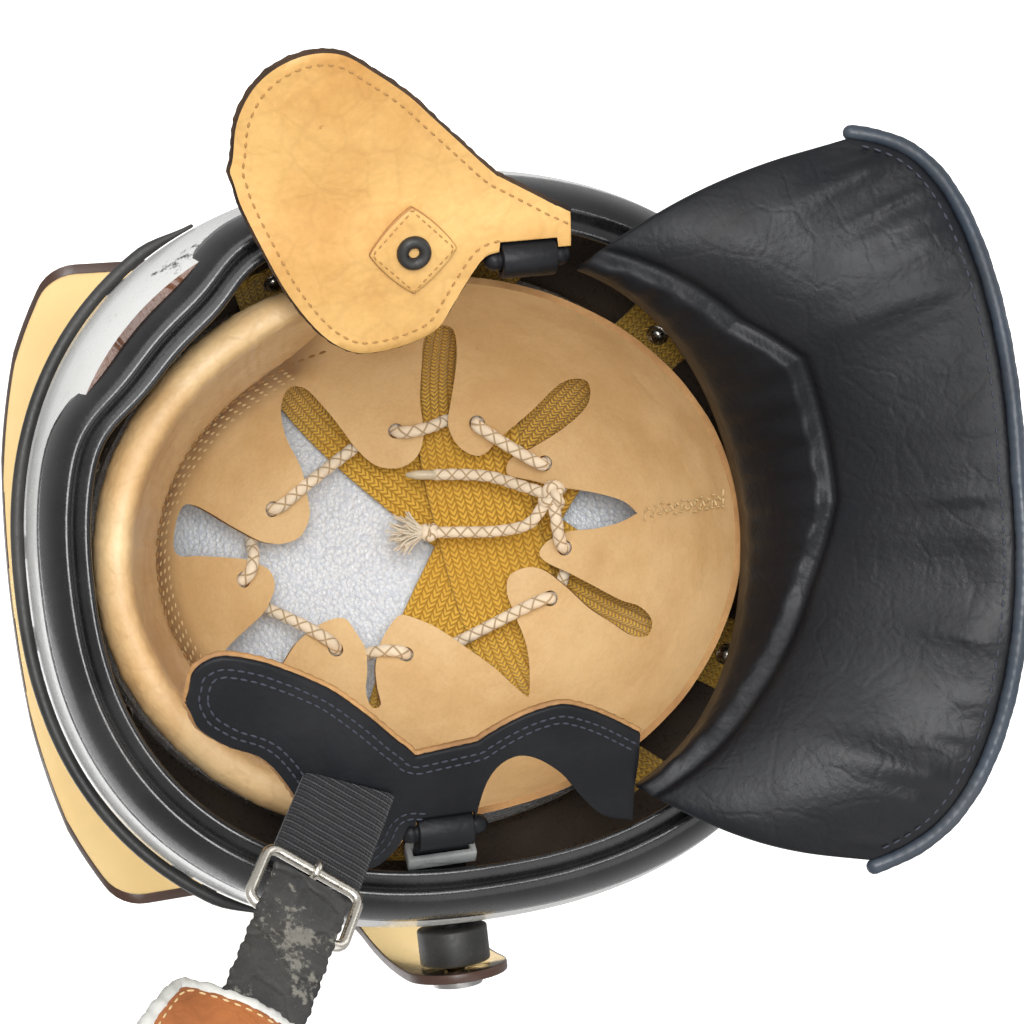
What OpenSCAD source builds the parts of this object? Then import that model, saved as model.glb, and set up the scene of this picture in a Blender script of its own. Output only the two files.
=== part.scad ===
// Riot helmet with a raised visor, leather liner, ear flaps, chin strap and padded neck guard.
// Millimetres. +Z is the crown, -Y the brow, +X the wearer's left. The origin is the middle of the head opening.

/* [Headband and liner] */
// Inner half width of the headband
band_rx = 79; // [76:0.5:84]
// Inner half length of the headband
band_ry = 93; // [89:0.5:98]
// How far the headband's middle lies behind the origin
band_y = 4; // [2:0.5:6]
// Inner height of the head dome that the leather follows
dome_h = 108; // [104:0.5:111]
// Thickness of the liner leather
leather_t = 2; // [1.4:0.1:2.4]
// Size of each lace hole
lace_hole = 5.4; // [5:0.1:6.5]
// Diameter of the lacing cord
lace_d = 4.2; // [3:0.1:4.6]
// Thickness of the brow pad
brow_pad_t = 7; // [4:0.5:9]
// Height of the brow pad
brow_pad_h = 21; // [14:1:26]

/* [Shell] */
// Outer half width of the shell
shell_rx = 118; // [116:0.5:119]
// Outer half length of the shell
shell_ry = 128; // [124:0.5:134]
// How far the shell's middle lies behind the origin
shell_y = 10; // [8:0.5:12]
// Height at which the shell is widest
shell_z = 38; // [34:1:42]
// Height of the crown above the widest level
shell_rz = 106; // [104:0.5:112]
// Wall of the shell
shell_t = 3.5; // [2.5:0.1:4.5]
// Squareness of the shell in plan, where 2 is an ellipse
shell_n = 2.3; // [2:0.05:2.5]
// Level of the rim at the brow
rim_front_z = -6; // [-9:0.5:-3]
// Level of the rim at the nape
rim_rear_z = -18; // [-20:0.5:-12]
// Rubber thickness of the rim trim on each face of the shell
trim_t = 3; // [2:0.1:3.6]
// How far the trim reaches up each face of the shell
trim_h = 9; // [6:0.5:12]
// Thickness of the foam liner at the crown
foam_t = 14; // [10:0.5:14.5]
// Thickness of the dark inner skirt
skirt_t = 1.5; // [1:0.1:2.5]

/* [Webbing] */
// Width of the crown webbing
web_w = 34; // [24:1:38]
// Thickness of the crown webbing
web_t = 1.6; // [1:0.1:1.8]

/* [Visor] */
// Room between the shell's side and the inner face of the visor plate
visor_gap = 12; // [11:0.5:18]
// Thickness of the visor plate
visor_t = 3; // [2:0.1:4]
// Depth of the visor below its pivots
visor_h = 105; // [90:1:115]
// Height of the visor above its pivots
visor_top = 22; // [18:1:26]
// Half width of the visor plate
visor_half_w = 108; // [100:1:112]
// How much lower the visor's free edge is in the middle than at its corners
visor_bulge = 13; // [6:1:18]
// Height of the pivots
pivot_z = 28; // [26:0.5:32]
// Radius of each pivot screw
pivot_r = 3; // [2.5:0.1:4]
// Radius of each pivot boss
boss_r = 11; // [9:0.5:11.5]
// How far the visor is raised at rest
visor_rest = 80; // [60:1:85]

/* [Ear flaps] */
// Distance of the flap hinges from the middle
hinge_x = 80; // [78:0.5:82]
// Level of the flap hinges
hinge_z = -26; // [-30:0.5:-25]
// Radius of the rolled hem that each flap turns on
hem_r = 3; // [2.4:0.1:3.4]
// Thickness of each leather layer of a flap
flap_t = 2; // [1.4:0.1:2.4]
// Reach of a flap below its hinge
flap_reach = 64; // [56:1:68]
// Half width of a flap's lobe
flap_half_w = 34; // [28:1:36]
// Angle of the left flap, outward from hanging
left_angle = 60; // [40:1:65]
// Angle of the right flap, outward from hanging
right_angle = -60; // [-64:1:-45]
// Outer radius of the rubber eyelets
eyelet_r = 5; // [4:0.1:6]

/* [Chin strap] */
// Width of the chin strap
strap_w = 26; // [20:1:30]
// Thickness of the chin strap
strap_t = 2.2; // [1.6:0.1:2.6]
// Length of the webbing part up to the buckle bar
strap_l = 30; // [26:1:36]
// Length of the leather tail past the buckle bar
tail_l = 42; // [38:1:48]
// Angle of the strap below level
strap_drop = 42; // [36:1:46]
// Radius of the buckle wire
wire_r = 1.5; // [1.2:0.1:1.8]
// Width of the chin cup
cup_w = 50; // [44:1:54]
// Length of the chin cup
cup_l = 46; // [38:1:52]

/* [Neck guard] */
// How far the neck guard's edge lies behind the origin
guard_y = 154; // [148:1:158]
// Level of the neck guard's edge at its middle
guard_z = -70; // [-76:1:-66]
// Greatest thickness of the neck guard's padding
guard_t = 9; // [6:0.5:10]
// How much farther back the hem's left end is drawn than its right end
guard_flare = 20; // [0:1:24]

/* [Hidden] */

white_paint = [0.92, 0.92, 0.9];
black_rubber = [0.08, 0.08, 0.09];
black_leather = [0.1, 0.1, 0.11];
tan_leather = [0.82, 0.65, 0.42];
cream_cord = [0.86, 0.8, 0.68];
mustard = [0.75, 0.55, 0.15];
grey_leather = [0.68, 0.68, 0.66];
steel = [0.7, 0.7, 0.72];

$fn = 48;
gap = 0.3;         // clearance between pieces that lie against each other
hair = 0.1;        // clearance between sewn layers
azimuths = 60;     // steps round the shell
shell_rows = 11;
crown_e = 88;      // height angle of the last row, just short of the crown

// Vector helpers
function unit(v) = v / norm(v);
function lerp(a, b, t) = a + (b - a) * t;
function signed_pow(v, p) = sign(v) * pow(abs(v), p);
function flat(rows) = [for (r = rows) each r];

// Closed solid between a front and a back grid of points. Seen from the front, columns run right and rows run up.
// A ring joins the last column to the first, and a capped ring is closed over its last row.
module sheet_solid(front, back, ring = false, cap = false) {
    m = len(front);
    n = len(front[0]);
    last = ring ? n - 1 : n - 2;
    off = m * n;
    function f(j, i) = j * n + i % n;
    function b(j, i) = off + j * n + i % n;
    function quad(p, q, r, s) = [[p, q, r], [p, r, s]];
    faces = concat(
        [for (j = [0 : m - 2], i = [0 : last]) each quad(f(j, i), f(j + 1, i), f(j + 1, i + 1), f(j, i + 1))],
        [for (j = [0 : m - 2], i = [0 : last]) each quad(b(j, i), b(j, i + 1), b(j + 1, i + 1), b(j + 1, i))],
        [for (i = [0 : last]) each quad(f(0, i), f(0, i + 1), b(0, i + 1), b(0, i))],
        cap ? [for (i = [1 : n - 2]) each [[f(m - 1, 0), f(m - 1, i + 1), f(m - 1, i)],
                                           [b(m - 1, 0), b(m - 1, i), b(m - 1, i + 1)]]]
            : [for (i = [0 : last]) each quad(f(m - 1, i + 1), f(m - 1, i), b(m - 1, i), b(m - 1, i + 1))],
        ring ? [] : [for (j = [0 : m - 2]) each quad(f(j + 1, 0), f(j, 0), b(j, 0), b(j + 1, 0))],
        ring ? [] : [for (j = [0 : m - 2]) each quad(f(j, n - 1), f(j + 1, n - 1), b(j + 1, n - 1), b(j, n - 1))]);
    polyhedron(concat(flat(front), flat(back)), faces, convexity = 8);
}

// Solid swept through rings of points. Each ring turns the same way, clockwise seen from the start of the sweep.
module ring_sweep(rings, closed = false) {
    m = len(rings);
    n = len(rings[0]);
    last = closed ? m - 1 : m - 2;
    function v(j, i) = (j % m) * n + i % n;
    faces = concat(
        [for (j = [0 : last], i = [0 : n - 1]) each
            [[v(j, i), v(j + 1, i), v(j + 1, i + 1)], [v(j, i), v(j + 1, i + 1), v(j, i + 1)]]],
        closed ? [] : [for (i = [1 : n - 2]) [v(0, 0), v(0, i), v(0, i + 1)]],
        closed ? [] : [for (i = [1 : n - 2]) [v(m - 1, 0), v(m - 1, i + 1), v(m - 1, i)]]);
    polyhedron(flat(rings), faces, convexity = 8);
}

// Round tube along a path. The side vector given for each point is never along the path.
module tube(path, side, r, sides = 8) {
    m = len(path);
    function tangent(k) = unit(path[min(k + 1, m - 1)] - path[max(k - 1, 0)]);
    ring_sweep([for (k = [0 : m - 1])
        let (t = tangent(k), u = unit(cross(t, side[k])), v = cross(t, u))
        [for (i = [0 : sides - 1]) path[k] + r * (cos(360 * i / sides) * u + sin(360 * i / sides) * v)]]);
}

// Each inner corner of a path is cut by two points, c away from it
function chamfered(p, c) = [for (k = [0 : len(p) - 1])
    each (k == 0 || k == len(p) - 1) ? [p[k]]
        : [p[k] + unit(p[k - 1] - p[k]) * min(c, norm(p[k - 1] - p[k]) * 0.35),
           p[k] + unit(p[k + 1] - p[k]) * min(c, norm(p[k + 1] - p[k]) * 0.35)]];

// Shell surface: the azimuth runs from the brow towards the wearer's left
function shell_pt(a, z, inset) =
    let (c = sqrt(max(0, 1 - pow((z - shell_z) / (shell_rz - inset), 2))))
    [(shell_rx - inset) * c * signed_pow(sin(a), 2 / shell_n),
     shell_y - (shell_ry - inset) * c * signed_pow(cos(a), 2 / shell_n), z];
function shell_row_pt(a, e, inset) = shell_pt(a, shell_z + (shell_rz - inset) * sin(e), inset);
function rim_z(a) = lerp(rim_front_z, rim_rear_z, (1 - cos(a)) / 2) - 3 * pow(sin(a), 2);
// Height angle of a level that lies up mm above the rim
function rim_e(a, inset, up) = asin((rim_z(a) + up - shell_z) / (shell_rz - inset));
// Half width of the shell at a place along Y
function wall_x(y, z, inset) =
    let (c = sqrt(1 - pow((z - shell_z) / (shell_rz - inset), 2)), u = abs(y - shell_y) / (shell_ry - inset) / c)
    (shell_rx - inset) * c * pow(1 - pow(u, shell_n), 1 / shell_n);
// The first row of cells is as high as the trim, so that the trim fits the wall
function shell_rows_at(inset) = [for (j = [0 : shell_rows]) [for (i = [0 : azimuths - 1])
    let (a = 360 * i / azimuths, e = j == 0 ? rim_e(a, inset, 0)
        : lerp(rim_e(a, inset, trim_h + 1), crown_e, (j - 1) / (shell_rows - 1)))
    shell_row_pt(a, e, inset)]];

module outer_shell() color(white_paint)
    sheet_solid(shell_rows_at(0), shell_rows_at(shell_t), ring = true, cap = true);

// Trim section: outward from the middle of the wall, and up from the rim
trim_half = shell_t / 2 + trim_t;
slot_half = shell_t / 2 + 1.5 * hair;
trim_section = [[slot_half, trim_h], [trim_half - 0.4, trim_h - 0.5], [trim_half, 1], [trim_half - 0.6, -3],
    [trim_half - 2, -4.8], [1, -4.4], [0, -3.4], [-1, -4.4], [2 - trim_half, -4.8], [0.6 - trim_half, -3],
    [-trim_half, 1], [0.4 - trim_half, trim_h - 0.5], [-slot_half, trim_h], [-slot_half, -gap], [slot_half, -gap]];

module rim_trim() color(black_rubber)
    ring_sweep([for (i = [0 : azimuths - 1])
        let (a = 360 * i / azimuths)
        [for (s = trim_section) shell_pt(a, rim_z(a) + s[1], shell_t / 2 - s[0])]], closed = true);

// Rubber bead round the brow, where the lowered visor closes on the shell
seal_r = 2;
seal_z = 24;
seal_span = 62;
module brow_seal() color(black_rubber)
    tube([for (i = [0 : 24]) shell_pt(lerp(-seal_span, seal_span, i / 24), seal_z, -seal_r - gap)],
         [for (i = [0 : 24]) [0, 0, 1]], seal_r);

// Rubber buffers on the brow, in pairs
buffer_azimuths = [-48, -5, 5, 48];
module visor_buffers() color(black_rubber)
    for (a = buffer_azimuths)
        let (p = shell_pt(a, shell_z, 0), q = shell_pt(a, shell_z, -2))
        translate(p + unit(q - p) * gap)
        rotate([0, 90, atan2(q[1] - p[1], q[0] - p[0])]) cylinder(r = 4, h = 3);

// Foam liner and the dark skirt under its lower face
foam_low_z = 16;
foam_in_z = 43;
foam_clear = shell_t + gap;
foam_in_rx = band_rx + 13;
foam_in_ry = band_ry + 13;
foam_top = shell_z + shell_rz - foam_clear - foam_t;
function foam_in_pt(a, e) = [foam_in_rx * cos(e) * sin(a), band_y + 1 - foam_in_ry * cos(e) * cos(a),
    foam_in_z + (foam_top - foam_in_z) * sin(e)];
foam_steps = 40;
foam_rows = 7;
foam_e = asin((foam_low_z - shell_z) / (shell_rz - foam_clear));

module foam_liner() color([0.93, 0.93, 0.94])
    sheet_solid([for (j = [0 : foam_rows]) [for (i = [0 : foam_steps - 1])
            let (a = 360 * i / foam_steps)
            shell_row_pt(a, lerp(foam_e, 87, j / foam_rows), foam_clear + 0.7)]],
        [for (j = [0 : foam_rows]) [for (i = [0 : foam_steps - 1]) foam_in_pt(360 * i / foam_steps, 87 * j / foam_rows)]],
        ring = true, cap = true);

// The skirt lies just under the foam's lower face. Its points are a share of the way up that face and a drop below it.
function skirt_face(a, v) = lerp(shell_row_pt(a, foam_e, foam_clear + 0.7), foam_in_pt(a, 0), v);
function skirt_down(a) = unit(cross(skirt_face(a, 1) - skirt_face(a, 0), skirt_face(a + 1, 0.5) - skirt_face(a - 1, 0.5)));
function skirt_pt(a, v, drop) = skirt_face(a, v) + skirt_down(a) * drop;
module skirt_solid(drop, t)
    sheet_solid([for (v = [0, 0.5, 1]) [for (i = [0 : foam_steps - 1]) skirt_pt(360 * i / foam_steps, v, drop)]],
        [for (v = [0, 0.5, 1]) [for (i = [0 : foam_steps - 1]) skirt_pt(360 * i / foam_steps, v, drop + t)]],
        ring = true);
module inner_skirt() color([0.2, 0.17, 0.15]) skirt_solid(gap, skirt_t);
under_skirt = gap + skirt_t + gap;
under_web = under_skirt + gap;

// Domed rivets under the skirt at the brow, and on the ends of the webbing
rivet_r = 3;
rivet_v = 0.76;
brow_rivets = [-24, 17, 22, 180];
web_ends = [[70, 208], [107, 239], [141, 277]];
module rivet(a, drop) translate(skirt_pt(a, rivet_v, drop))
    rotate([0, acos(skirt_down(a)[2]), atan2(skirt_down(a)[1], skirt_down(a)[0])]) intersection() {
        sphere(r = rivet_r);
        cylinder(r = rivet_r + 1, h = rivet_r + 1);
    }
module skirt_rivets() color(steel) {
    for (a = brow_rivets) rivet(a, under_skirt + gap);
    for (a = flat(web_ends)) rivet(a, under_web + web_t + gap);
}

// Leather dome that carries the tongues
dome_q = 0.8;      // fullness of the dome's sides
dome_eye = [0, band_y, 12];
function dome_pt(a, e) = [band_rx * pow(cos(e), dome_q) * sin(a),
    band_y - band_ry * pow(cos(e), dome_q) * cos(a), dome_h * sin(e)];
function outward(p) = unit(p - dome_eye);

// Tongues, from the brow round by the wearer's left: lace hole azimuth and height angle, tip radius
tongues = [[-5, 62, 10], [31, 67, 11.5], [99, 63, 10.5], [126, 55, 8.5], [153, 52, 11],
    [186, 54, 8], [206, 55, 12], [266, 68, 9.5], [300, 68, 9.5]];
// Notch after each tongue: azimuth and height angle
notches = [[22, 41], [66, 42], [106, 27], [141, 27], [177, 34], [208, 26], [239, 40], [279, 52], [329, 46]];
notch_half = 1.6;  // half of each notch's width, in degrees
tip_marks = [-1, -0.86, -0.55, -0.24, 0.24, 0.55, 0.86, 1];
cells = len(tip_marks);   // columns of each tongue, the last cell being the notch
band_rows = 4;
tongue_rows = 5;

function notch_before(k) = k == 0 ? [notches[8][0] - 360, notches[8][1]] : notches[k - 1];
function hole_pt(k) = dome_pt(tongues[k][0], tongues[k][1]);
function base_mark(k, i) = lerp(notch_before(k) + [notch_half, 0], notches[k] - [notch_half, 0], i / (cells - 1));
function tongue_axis(k) = let (m = base_mark(k, (cells - 1) / 2)) unit(hole_pt(k) - dome_pt(m[0], m[1]));
function tongue_side(k) = unit(cross(tongue_axis(k), outward(hole_pt(k))));
function tip_pt(k, i) = let (r = tongues[k][2], u = tip_marks[i], v = sqrt(max(0, 1 - u * u)))
    hole_pt(k) - tongue_side(k) * r * u + tongue_axis(k) * r * v;
// Share of a column's length at each row, with the hole between rows 3 and 4
function row_share(k, j) =
    let (m = base_mark(k, 3.5), long = norm(hole_pt(k) - dome_pt(m[0], m[1])), full = long + tongues[k][2],
         low = (long - lace_hole / 2) / full, high = (long + lace_hole / 2) / full)
    [0, low / 3, low * 2 / 3, low, high, 1][j];
function liner_pt(k, i, j) = let (m = base_mark(k, i))
    j <= band_rows ? dome_pt(m[0], m[1] * j / band_rows)
        : lerp(dome_pt(m[0], m[1]), tip_pt(k, i), row_share(k, j - band_rows));
liner_cols = 9 * cells;
liner_rows = band_rows + tongue_rows;
function liner_front(c, j) = liner_pt(floor(c / cells), c % cells, j);
function has_cell(c, j) = j >= 0 && j < liner_rows
    && (j < band_rows || (c % cells < cells - 1 && !(c % cells == 3 && j == band_rows + 3)));

liner_off = liner_cols * (liner_rows + 1);
function back_id(j, c) = j * liner_cols + (c + liner_cols) % liner_cols;
function front_id(j, c) = liner_off + back_id(j, c);
function two(p, q, r, s) = [[p, q, r], [p, r, s]];
function liner_cell(c, j) = concat(
    two(front_id(j, c), front_id(j + 1, c), front_id(j + 1, c + 1), front_id(j, c + 1)),
    two(back_id(j, c), back_id(j, c + 1), back_id(j + 1, c + 1), back_id(j + 1, c)),
    has_cell(c, j - 1) ? [] : two(front_id(j, c), front_id(j, c + 1), back_id(j, c + 1), back_id(j, c)),
    has_cell(c, j + 1) ? []
        : two(front_id(j + 1, c + 1), front_id(j + 1, c), back_id(j + 1, c), back_id(j + 1, c + 1)),
    has_cell((c + liner_cols - 1) % liner_cols, j) ? []
        : two(front_id(j + 1, c), front_id(j, c), back_id(j, c), back_id(j + 1, c)),
    has_cell((c + 1) % liner_cols, j) ? []
        : two(front_id(j, c + 1), front_id(j + 1, c + 1), back_id(j + 1, c + 1), back_id(j, c + 1)));

module leather_liner() color(tan_leather) {
    inner = [for (j = [0 : liner_rows]) [for (c = [0 : liner_cols - 1]) liner_front(c, j)]];
    outer = [for (r = inner) [for (p = r) p + outward(p) * leather_t]];
    faces = [for (c = [0 : liner_cols - 1], j = [0 : liner_rows - 1]) if (has_cell(c, j)) each liner_cell(c, j)];
    polyhedron(concat(flat(inner), flat(outer)), faces, convexity = 8);
}

// Padded roll round the outside of the headband at the brow
brow_span = 76;
module brow_pad() color(tan_leather)
    ring_sweep([for (i = [0 : 30])
        let (s = i / 15 - 1, a = brow_span * s, grow = 0.25 + 0.75 * pow(1 - s * s, 0.35))
        [for (k = [0 : 11])
            let (q = -360 * k / 12, p = dome_pt(a, 3), n = unit([sin(a) / band_rx, -cos(a) / band_ry, 0]))
            [p[0], p[1], brow_pad_h / 2 + 0.5 + brow_pad_h / 2 * sin(q)]
                + n * (leather_t + hair + brow_pad_t / 2 * grow * (1 + cos(q)))]]);

// Crown webbing: straight in plan, and as high as the plan place asks. Its ends lie flat on the skirt.
web_profile = [[0, 121.5], [0.3, 119.5], [0.45, 116.5], [0.6, 110.5], [0.75, 98], [0.86, 82], [0.93, 68], [1, 53],
    [1.1, 44]];
function web_share(p) = norm([p[0] / band_rx, (p[1] - band_y) / band_ry]);
function web_pt(p, layer) = let (s = web_share(p))
    [p[0], p[1], lookup(s, web_profile) - layer * (web_t + 1.3) * max(0, 1 - pow(s / 0.98, 8))];
web_end = 1.03;
web_steps = 24;
web_narrow = 0.72; // width at the ends, as a share of the width at the crown
web_marks = [-0.5, -0.17, 0.17, 0.5];
module webbing(ends_at, layer) {
    ends = [for (a = ends_at) [band_rx * web_end * sin(a), band_y - band_ry * web_end * cos(a)]];
    along = unit(ends[1] - ends[0]);
    across = [-along[1], along[0]];
    function mid(i) = lerp(ends[0], ends[1], (1 - cos(180 * i / web_steps)) / 2);
    function row(i, drop) = [for (s = web_marks)
        let (p = mid(i) + across * web_w * s * lerp(web_narrow, 1, sin(180 * i / web_steps)))
        web_pt(p, layer) - [0, 0, drop]];
    // Azimuth step of one width at the skirt
    turn = atan(web_w * web_narrow / (foam_in_rx + foam_in_ry) * 2);
    function foot(k, v, drop) = [for (s = web_marks)
        skirt_pt(ends_at[k] + turn * s * (k == 0 ? -1 : 1), v, under_web + drop)];
    function rows(drop) = concat([foot(0, 0.62, drop), foot(0, 0.97, drop)],
        [for (i = [0 : web_steps]) row(i, drop)], [foot(1, 0.97, drop), foot(1, 0.62, drop)]);
    sheet_solid(rows(web_t), rows(0));
}
module webbing_front_left() color(mustard) webbing(web_ends[0], 0);
module webbing_transverse() color(mustard) webbing(web_ends[1], 2);
module webbing_front_right() color(mustard) webbing(web_ends[2], 1);

// Lacing: out of each hole, over the gap, under the next tongue and out of its hole
lace_r = lace_d / 2;
front_w = -(lace_r + gap);
back_w = leather_t + lace_r + gap;
function away(k, target) = let (n = outward(hole_pt(k)), d = target - hole_pt(k)) unit(d - n * (d * n));
function lace_at(k, w) = hole_pt(k) + outward(hole_pt(k)) * w;
function edge_at(k, target, w) = hole_pt(k) + away(k, target) * (tongues[k][2] + 1) + outward(hole_pt(k)) * w;
knot_r = 4.2;
knot_at = dome_pt(165, 52) - outward(dome_pt(165, 52)) * 7;
laced = [6, 7, 8, 0, 1, 2];
function next_tongue(k) = (k + 1) % 9;
lace_start = [knot_at + unit(lace_at(5, front_w) - knot_at) * (knot_r + gap),
    lace_at(5, front_w), lace_at(5, back_w), edge_at(5, hole_pt(6), back_w + 1), edge_at(6, hole_pt(5), back_w + 1),
    lace_at(6, back_w)];
lace_round = [for (k = laced) let (t = next_tongue(k)) each [lace_at(k, front_w),
    edge_at(k, hole_pt(t), front_w), edge_at(t, hole_pt(k), back_w), lace_at(t, back_w)]];
lace_end = [lace_at(3, front_w), lace_at(4, front_w), lace_at(4, back_w), edge_at(4, knot_at, back_w),
    edge_at(4, knot_at, 0) + away(4, knot_at) * 1.5,
    knot_at + unit(edge_at(4, knot_at, 0) - knot_at + away(4, knot_at) * 1.5) * (knot_r + gap)];
lace_path = chamfered(concat(lace_start, lace_round, lace_end), 2.4);
crown_point = [0, band_y + 12, dome_h + 12];
module lacing_cord() color(cream_cord)
    tube(lace_path, [for (p = lace_path) crown_point - p], lace_r);

module lacing_knot() color(cream_cord) translate(knot_at) sphere(r = knot_r, $fn = 24);

// Free ends of the lacing, with hand-chosen routes over the tongues
tail_long_route = [[14, 57, 82], [18, 51, 88], [22, 43, 94], [24, 34, 98], [25, 25, 100]];
tail_short_route = [[9, 57, 81], [4, 52, 86], [3, 42, 93], [4, 32, 97], [5, 22, 99]];
function seated(route) = concat([knot_at + unit(route[1] - knot_at) * (knot_r + gap)],
    [for (k = [1 : len(route) - 1]) route[k]]);
module free_end(route) color(cream_cord)
    tube(seated(route), [for (p = route) [1, 0, 0.2]], lace_r);
module lacing_tail_long() free_end(tail_long_route);
module lacing_tail_short() free_end(tail_short_route);
module lacing_tip() color([0.8, 0.78, 0.72]) {
    n = len(tail_long_route);
    last = tail_long_route[n - 1];
    dir = unit(last - tail_long_route[n - 2]);
    tube([for (s = [hair, 5, 10]) last + dir * s], [for (s = [0 : 2]) [1, 0, 0.2]], lace_r * 0.8);
}
module lacing_tassel() color(cream_cord) {
    n = len(tail_short_route);
    last = tail_short_route[n - 1];
    dir = unit(last - tail_short_route[n - 2]);
    r = lace_r * 1.5;
    translate(last + dir * (r + gap)) {
        sphere(r = r, $fn = 24);
        rotate([0, acos(dir[2]), atan2(dir[1], dir[0])]) cylinder(r1 = r * 0.6, r2 = r * 1.9, h = 11, $fn = 24);
    }
}

// Visor, drawn lowered with its pivots at the origin and then raised
pivot_y = 0;
ear_r = 16;
visor_r = shell_rx + visor_gap;
function arc(c, r, from, to, steps) = [for (i = [0 : steps]) c + r * [cos(lerp(from, to, i / steps)),
    sin(lerp(from, to, i / steps))]];
visor_out = visor_r + visor_t;
corner_y = -sqrt(visor_out * visor_out - visor_half_w * visor_half_w);
corner_r = 13;
fillet_r = 34;      // where the plate's side edge runs into the ear
low_z = -visor_h + visor_bulge;
// The free edge seen from the side: share of the plate's radius, and share of the bulge
free_edge = [[0.93, 0.1], [0.78, 0.5]];
blank_h = 400;      // height of the blank that the plate is cut from
flat_y = 40;        // how far its flat cheeks run back past the pivots
visor_outline = concat(
    [[-visor_out - 1, -visor_h]], [for (p = free_edge) [-visor_out * p[0], -visor_h + visor_bulge * p[1]]],
    arc([corner_y - corner_r, low_z + corner_r], corner_r, -70, 0, 6),
    arc([corner_y + fillet_r, -ear_r - fillet_r], fillet_r, 180, 90, 8),
    arc([0, 0], ear_r, -90, 90, 16),
    [[corner_y + fillet_r, ear_r + 1], [corner_y, visor_top - 1], [-visor_out - 1, visor_top]]);

// Half round at the front with flat cheeks behind, taller and deeper by the extra
module visor_blank(r, extra) {
    cylinder(r = r, h = blank_h + 2 * extra, center = true, $fn = 96);
    translate([-r, 0, -blank_h / 2 - extra]) cube([2 * r, flat_y + extra, blank_h + 2 * extra]);
}

module visor_plate() color([0.8, 0.68, 0.45, 0.6])
    translate([0, pivot_y, pivot_z]) rotate([-visor_rest, 0, 0]) difference() {
        intersection() {
            difference() {
                visor_blank(visor_out, 0);
                visor_blank(visor_r, 1);
            }
            rotate([90, 0, 90]) translate([0, 0, -visor_out - 1])
                linear_extrude(2 * visor_out + 2) polygon(visor_outline);
        }
        translate([-visor_out - 2, 0, 0]) rotate([0, 90, 0]) cylinder(r = pivot_r + 0.2, h = 2 * visor_out + 4);
    }

boss_from = shell_rx + gap;
boss_to = visor_r - 0.8;
module both_sides() for (s = [0, 1]) mirror([s, 0, 0]) children();
module visor_pivot_bosses() color(black_rubber) both_sides()
    translate([boss_from, pivot_y, pivot_z]) rotate([0, 90, 0]) difference() {
        cylinder(r = boss_r, h = boss_to - boss_from);
        translate([0, 0, -1]) cylinder(r = pivot_r + 0.05, h = boss_to - boss_from + 2);
    }
screw_head_h = 3;
module visor_pivot_screws() color(steel) both_sides()
    translate([boss_from + 0.5, pivot_y, pivot_z]) rotate([0, 90, 0]) difference() {
        union() {
            cylinder(r = pivot_r, h = visor_out + gap - boss_from);
            translate([0, 0, visor_out + gap - boss_from - 0.5]) cylinder(r = pivot_r * 2.6, h = screw_head_h);
        }
        translate([-pivot_r * 2, -0.8, visor_out + gap - boss_from + screw_head_h - 1.6]) cube([pivot_r * 4, 1.6, 3]);
    }

// Ear flaps. A flap point has its place along Y, its reach from the hinge, and its height over the mid face.
left_hanger_y = 27;
right_hanger_y = -16;
hanger_w = 16;
loop_t = 2.2;
loop_r = hem_r + gap + loop_t;
hem_past = 2;       // how far the rolled hem runs past its hanger on each side
lobe_centre = 27.5; // reach at which the flap is bowed out most
lobe_half = 36.5;
cup_depth = 3;
neck_low = hem_r + gap;
slot_low = loop_r + 2 * gap;
long = flap_reach / 64;
wide = flap_half_w / 34;
function smooth(t) = let (c = min(1, max(0, t))) c * c * (3 - 2 * c);
function flap_place(side, angle, y, q, w) =
    [side * (hinge_x + q * sin(angle) + w * cos(angle)), y, hinge_z - q * cos(angle) + w * sin(angle)];
function flap_bow(q) = cup_depth * (1 - pow((q - lobe_centre) / lobe_half, 2)) * smooth((q - 2) / 20);
// Rows of an outline: a place along Y, and the reach of the lower and upper edges there.
// Each flap has the rows of its lobe, a slot round the loop of its hanger strap, and the rows behind the slot.
function slot_rows(from, high, last) = let (slot = 1.5 * gap, to = from + hanger_w)
    [[from - slot - gap, neck_low, high], [from - slot, slot_low, high], [from + hanger_w / 2, slot_low, (high + last) / 2],
     [to + slot, slot_low, last], [to + slot + gap, neck_low, last]];
function scaled(rows, mid) = [for (r = rows) [mid + (r[0] - mid) * wide, r[1], r[1] + (r[2] - r[1]) * long]];
left_outline = concat(
    scaled([[-48, 28, 36], [-46.5, 22, 46], [-42, 11, 55], [-35, -4, 61], [-26, -17, 64], [-17, -23.5, 63], [-8, -24, 57],
        [1, -22, 50], [8, -18.5, 43], [13, -11, 38], [18, -3, 33], [22, 2, 29]], 22),
    slot_rows(left_hanger_y, 25, 15), [[47.5, neck_low, 13]]);
right_outline = concat(
    scaled([[-77, 52, 58], [-75, 47, 63.5], [-68, 41, 66.5], [-58, 35, 64], [-50, 20, 60], [-45, 2, 57], [-38, -7, 52],
        [-29, -9, 43], [-22, -3, 35], [-19, neck_low + 0.1, 32]], -19),
    slot_rows(right_hanger_y, 29, 31), [[4, 19, 33], [10, 25, 36], [17, 24, 38.5], [25, 17, 39.5], [32, 6, 37],
        [39, -2, 33], [47.5, -5, 27]]);
function outline_of(side) = side > 0 ? left_outline : right_outline;
flap_rows = 6;
function flap_grid(side, angle, w) = [for (j = [0 : flap_rows]) [for (r = outline_of(side))
    let (q = lerp(r[1], r[2], j / flap_rows)) flap_place(side, angle, r[0], q, w + flap_bow(q))]];
module flap_layer(side, angle, low, high)
    if (side > 0) sheet_solid(flap_grid(side, angle, low), flap_grid(side, angle, high));
    else sheet_solid(flap_grid(side, angle, high), flap_grid(side, angle, low));
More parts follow.
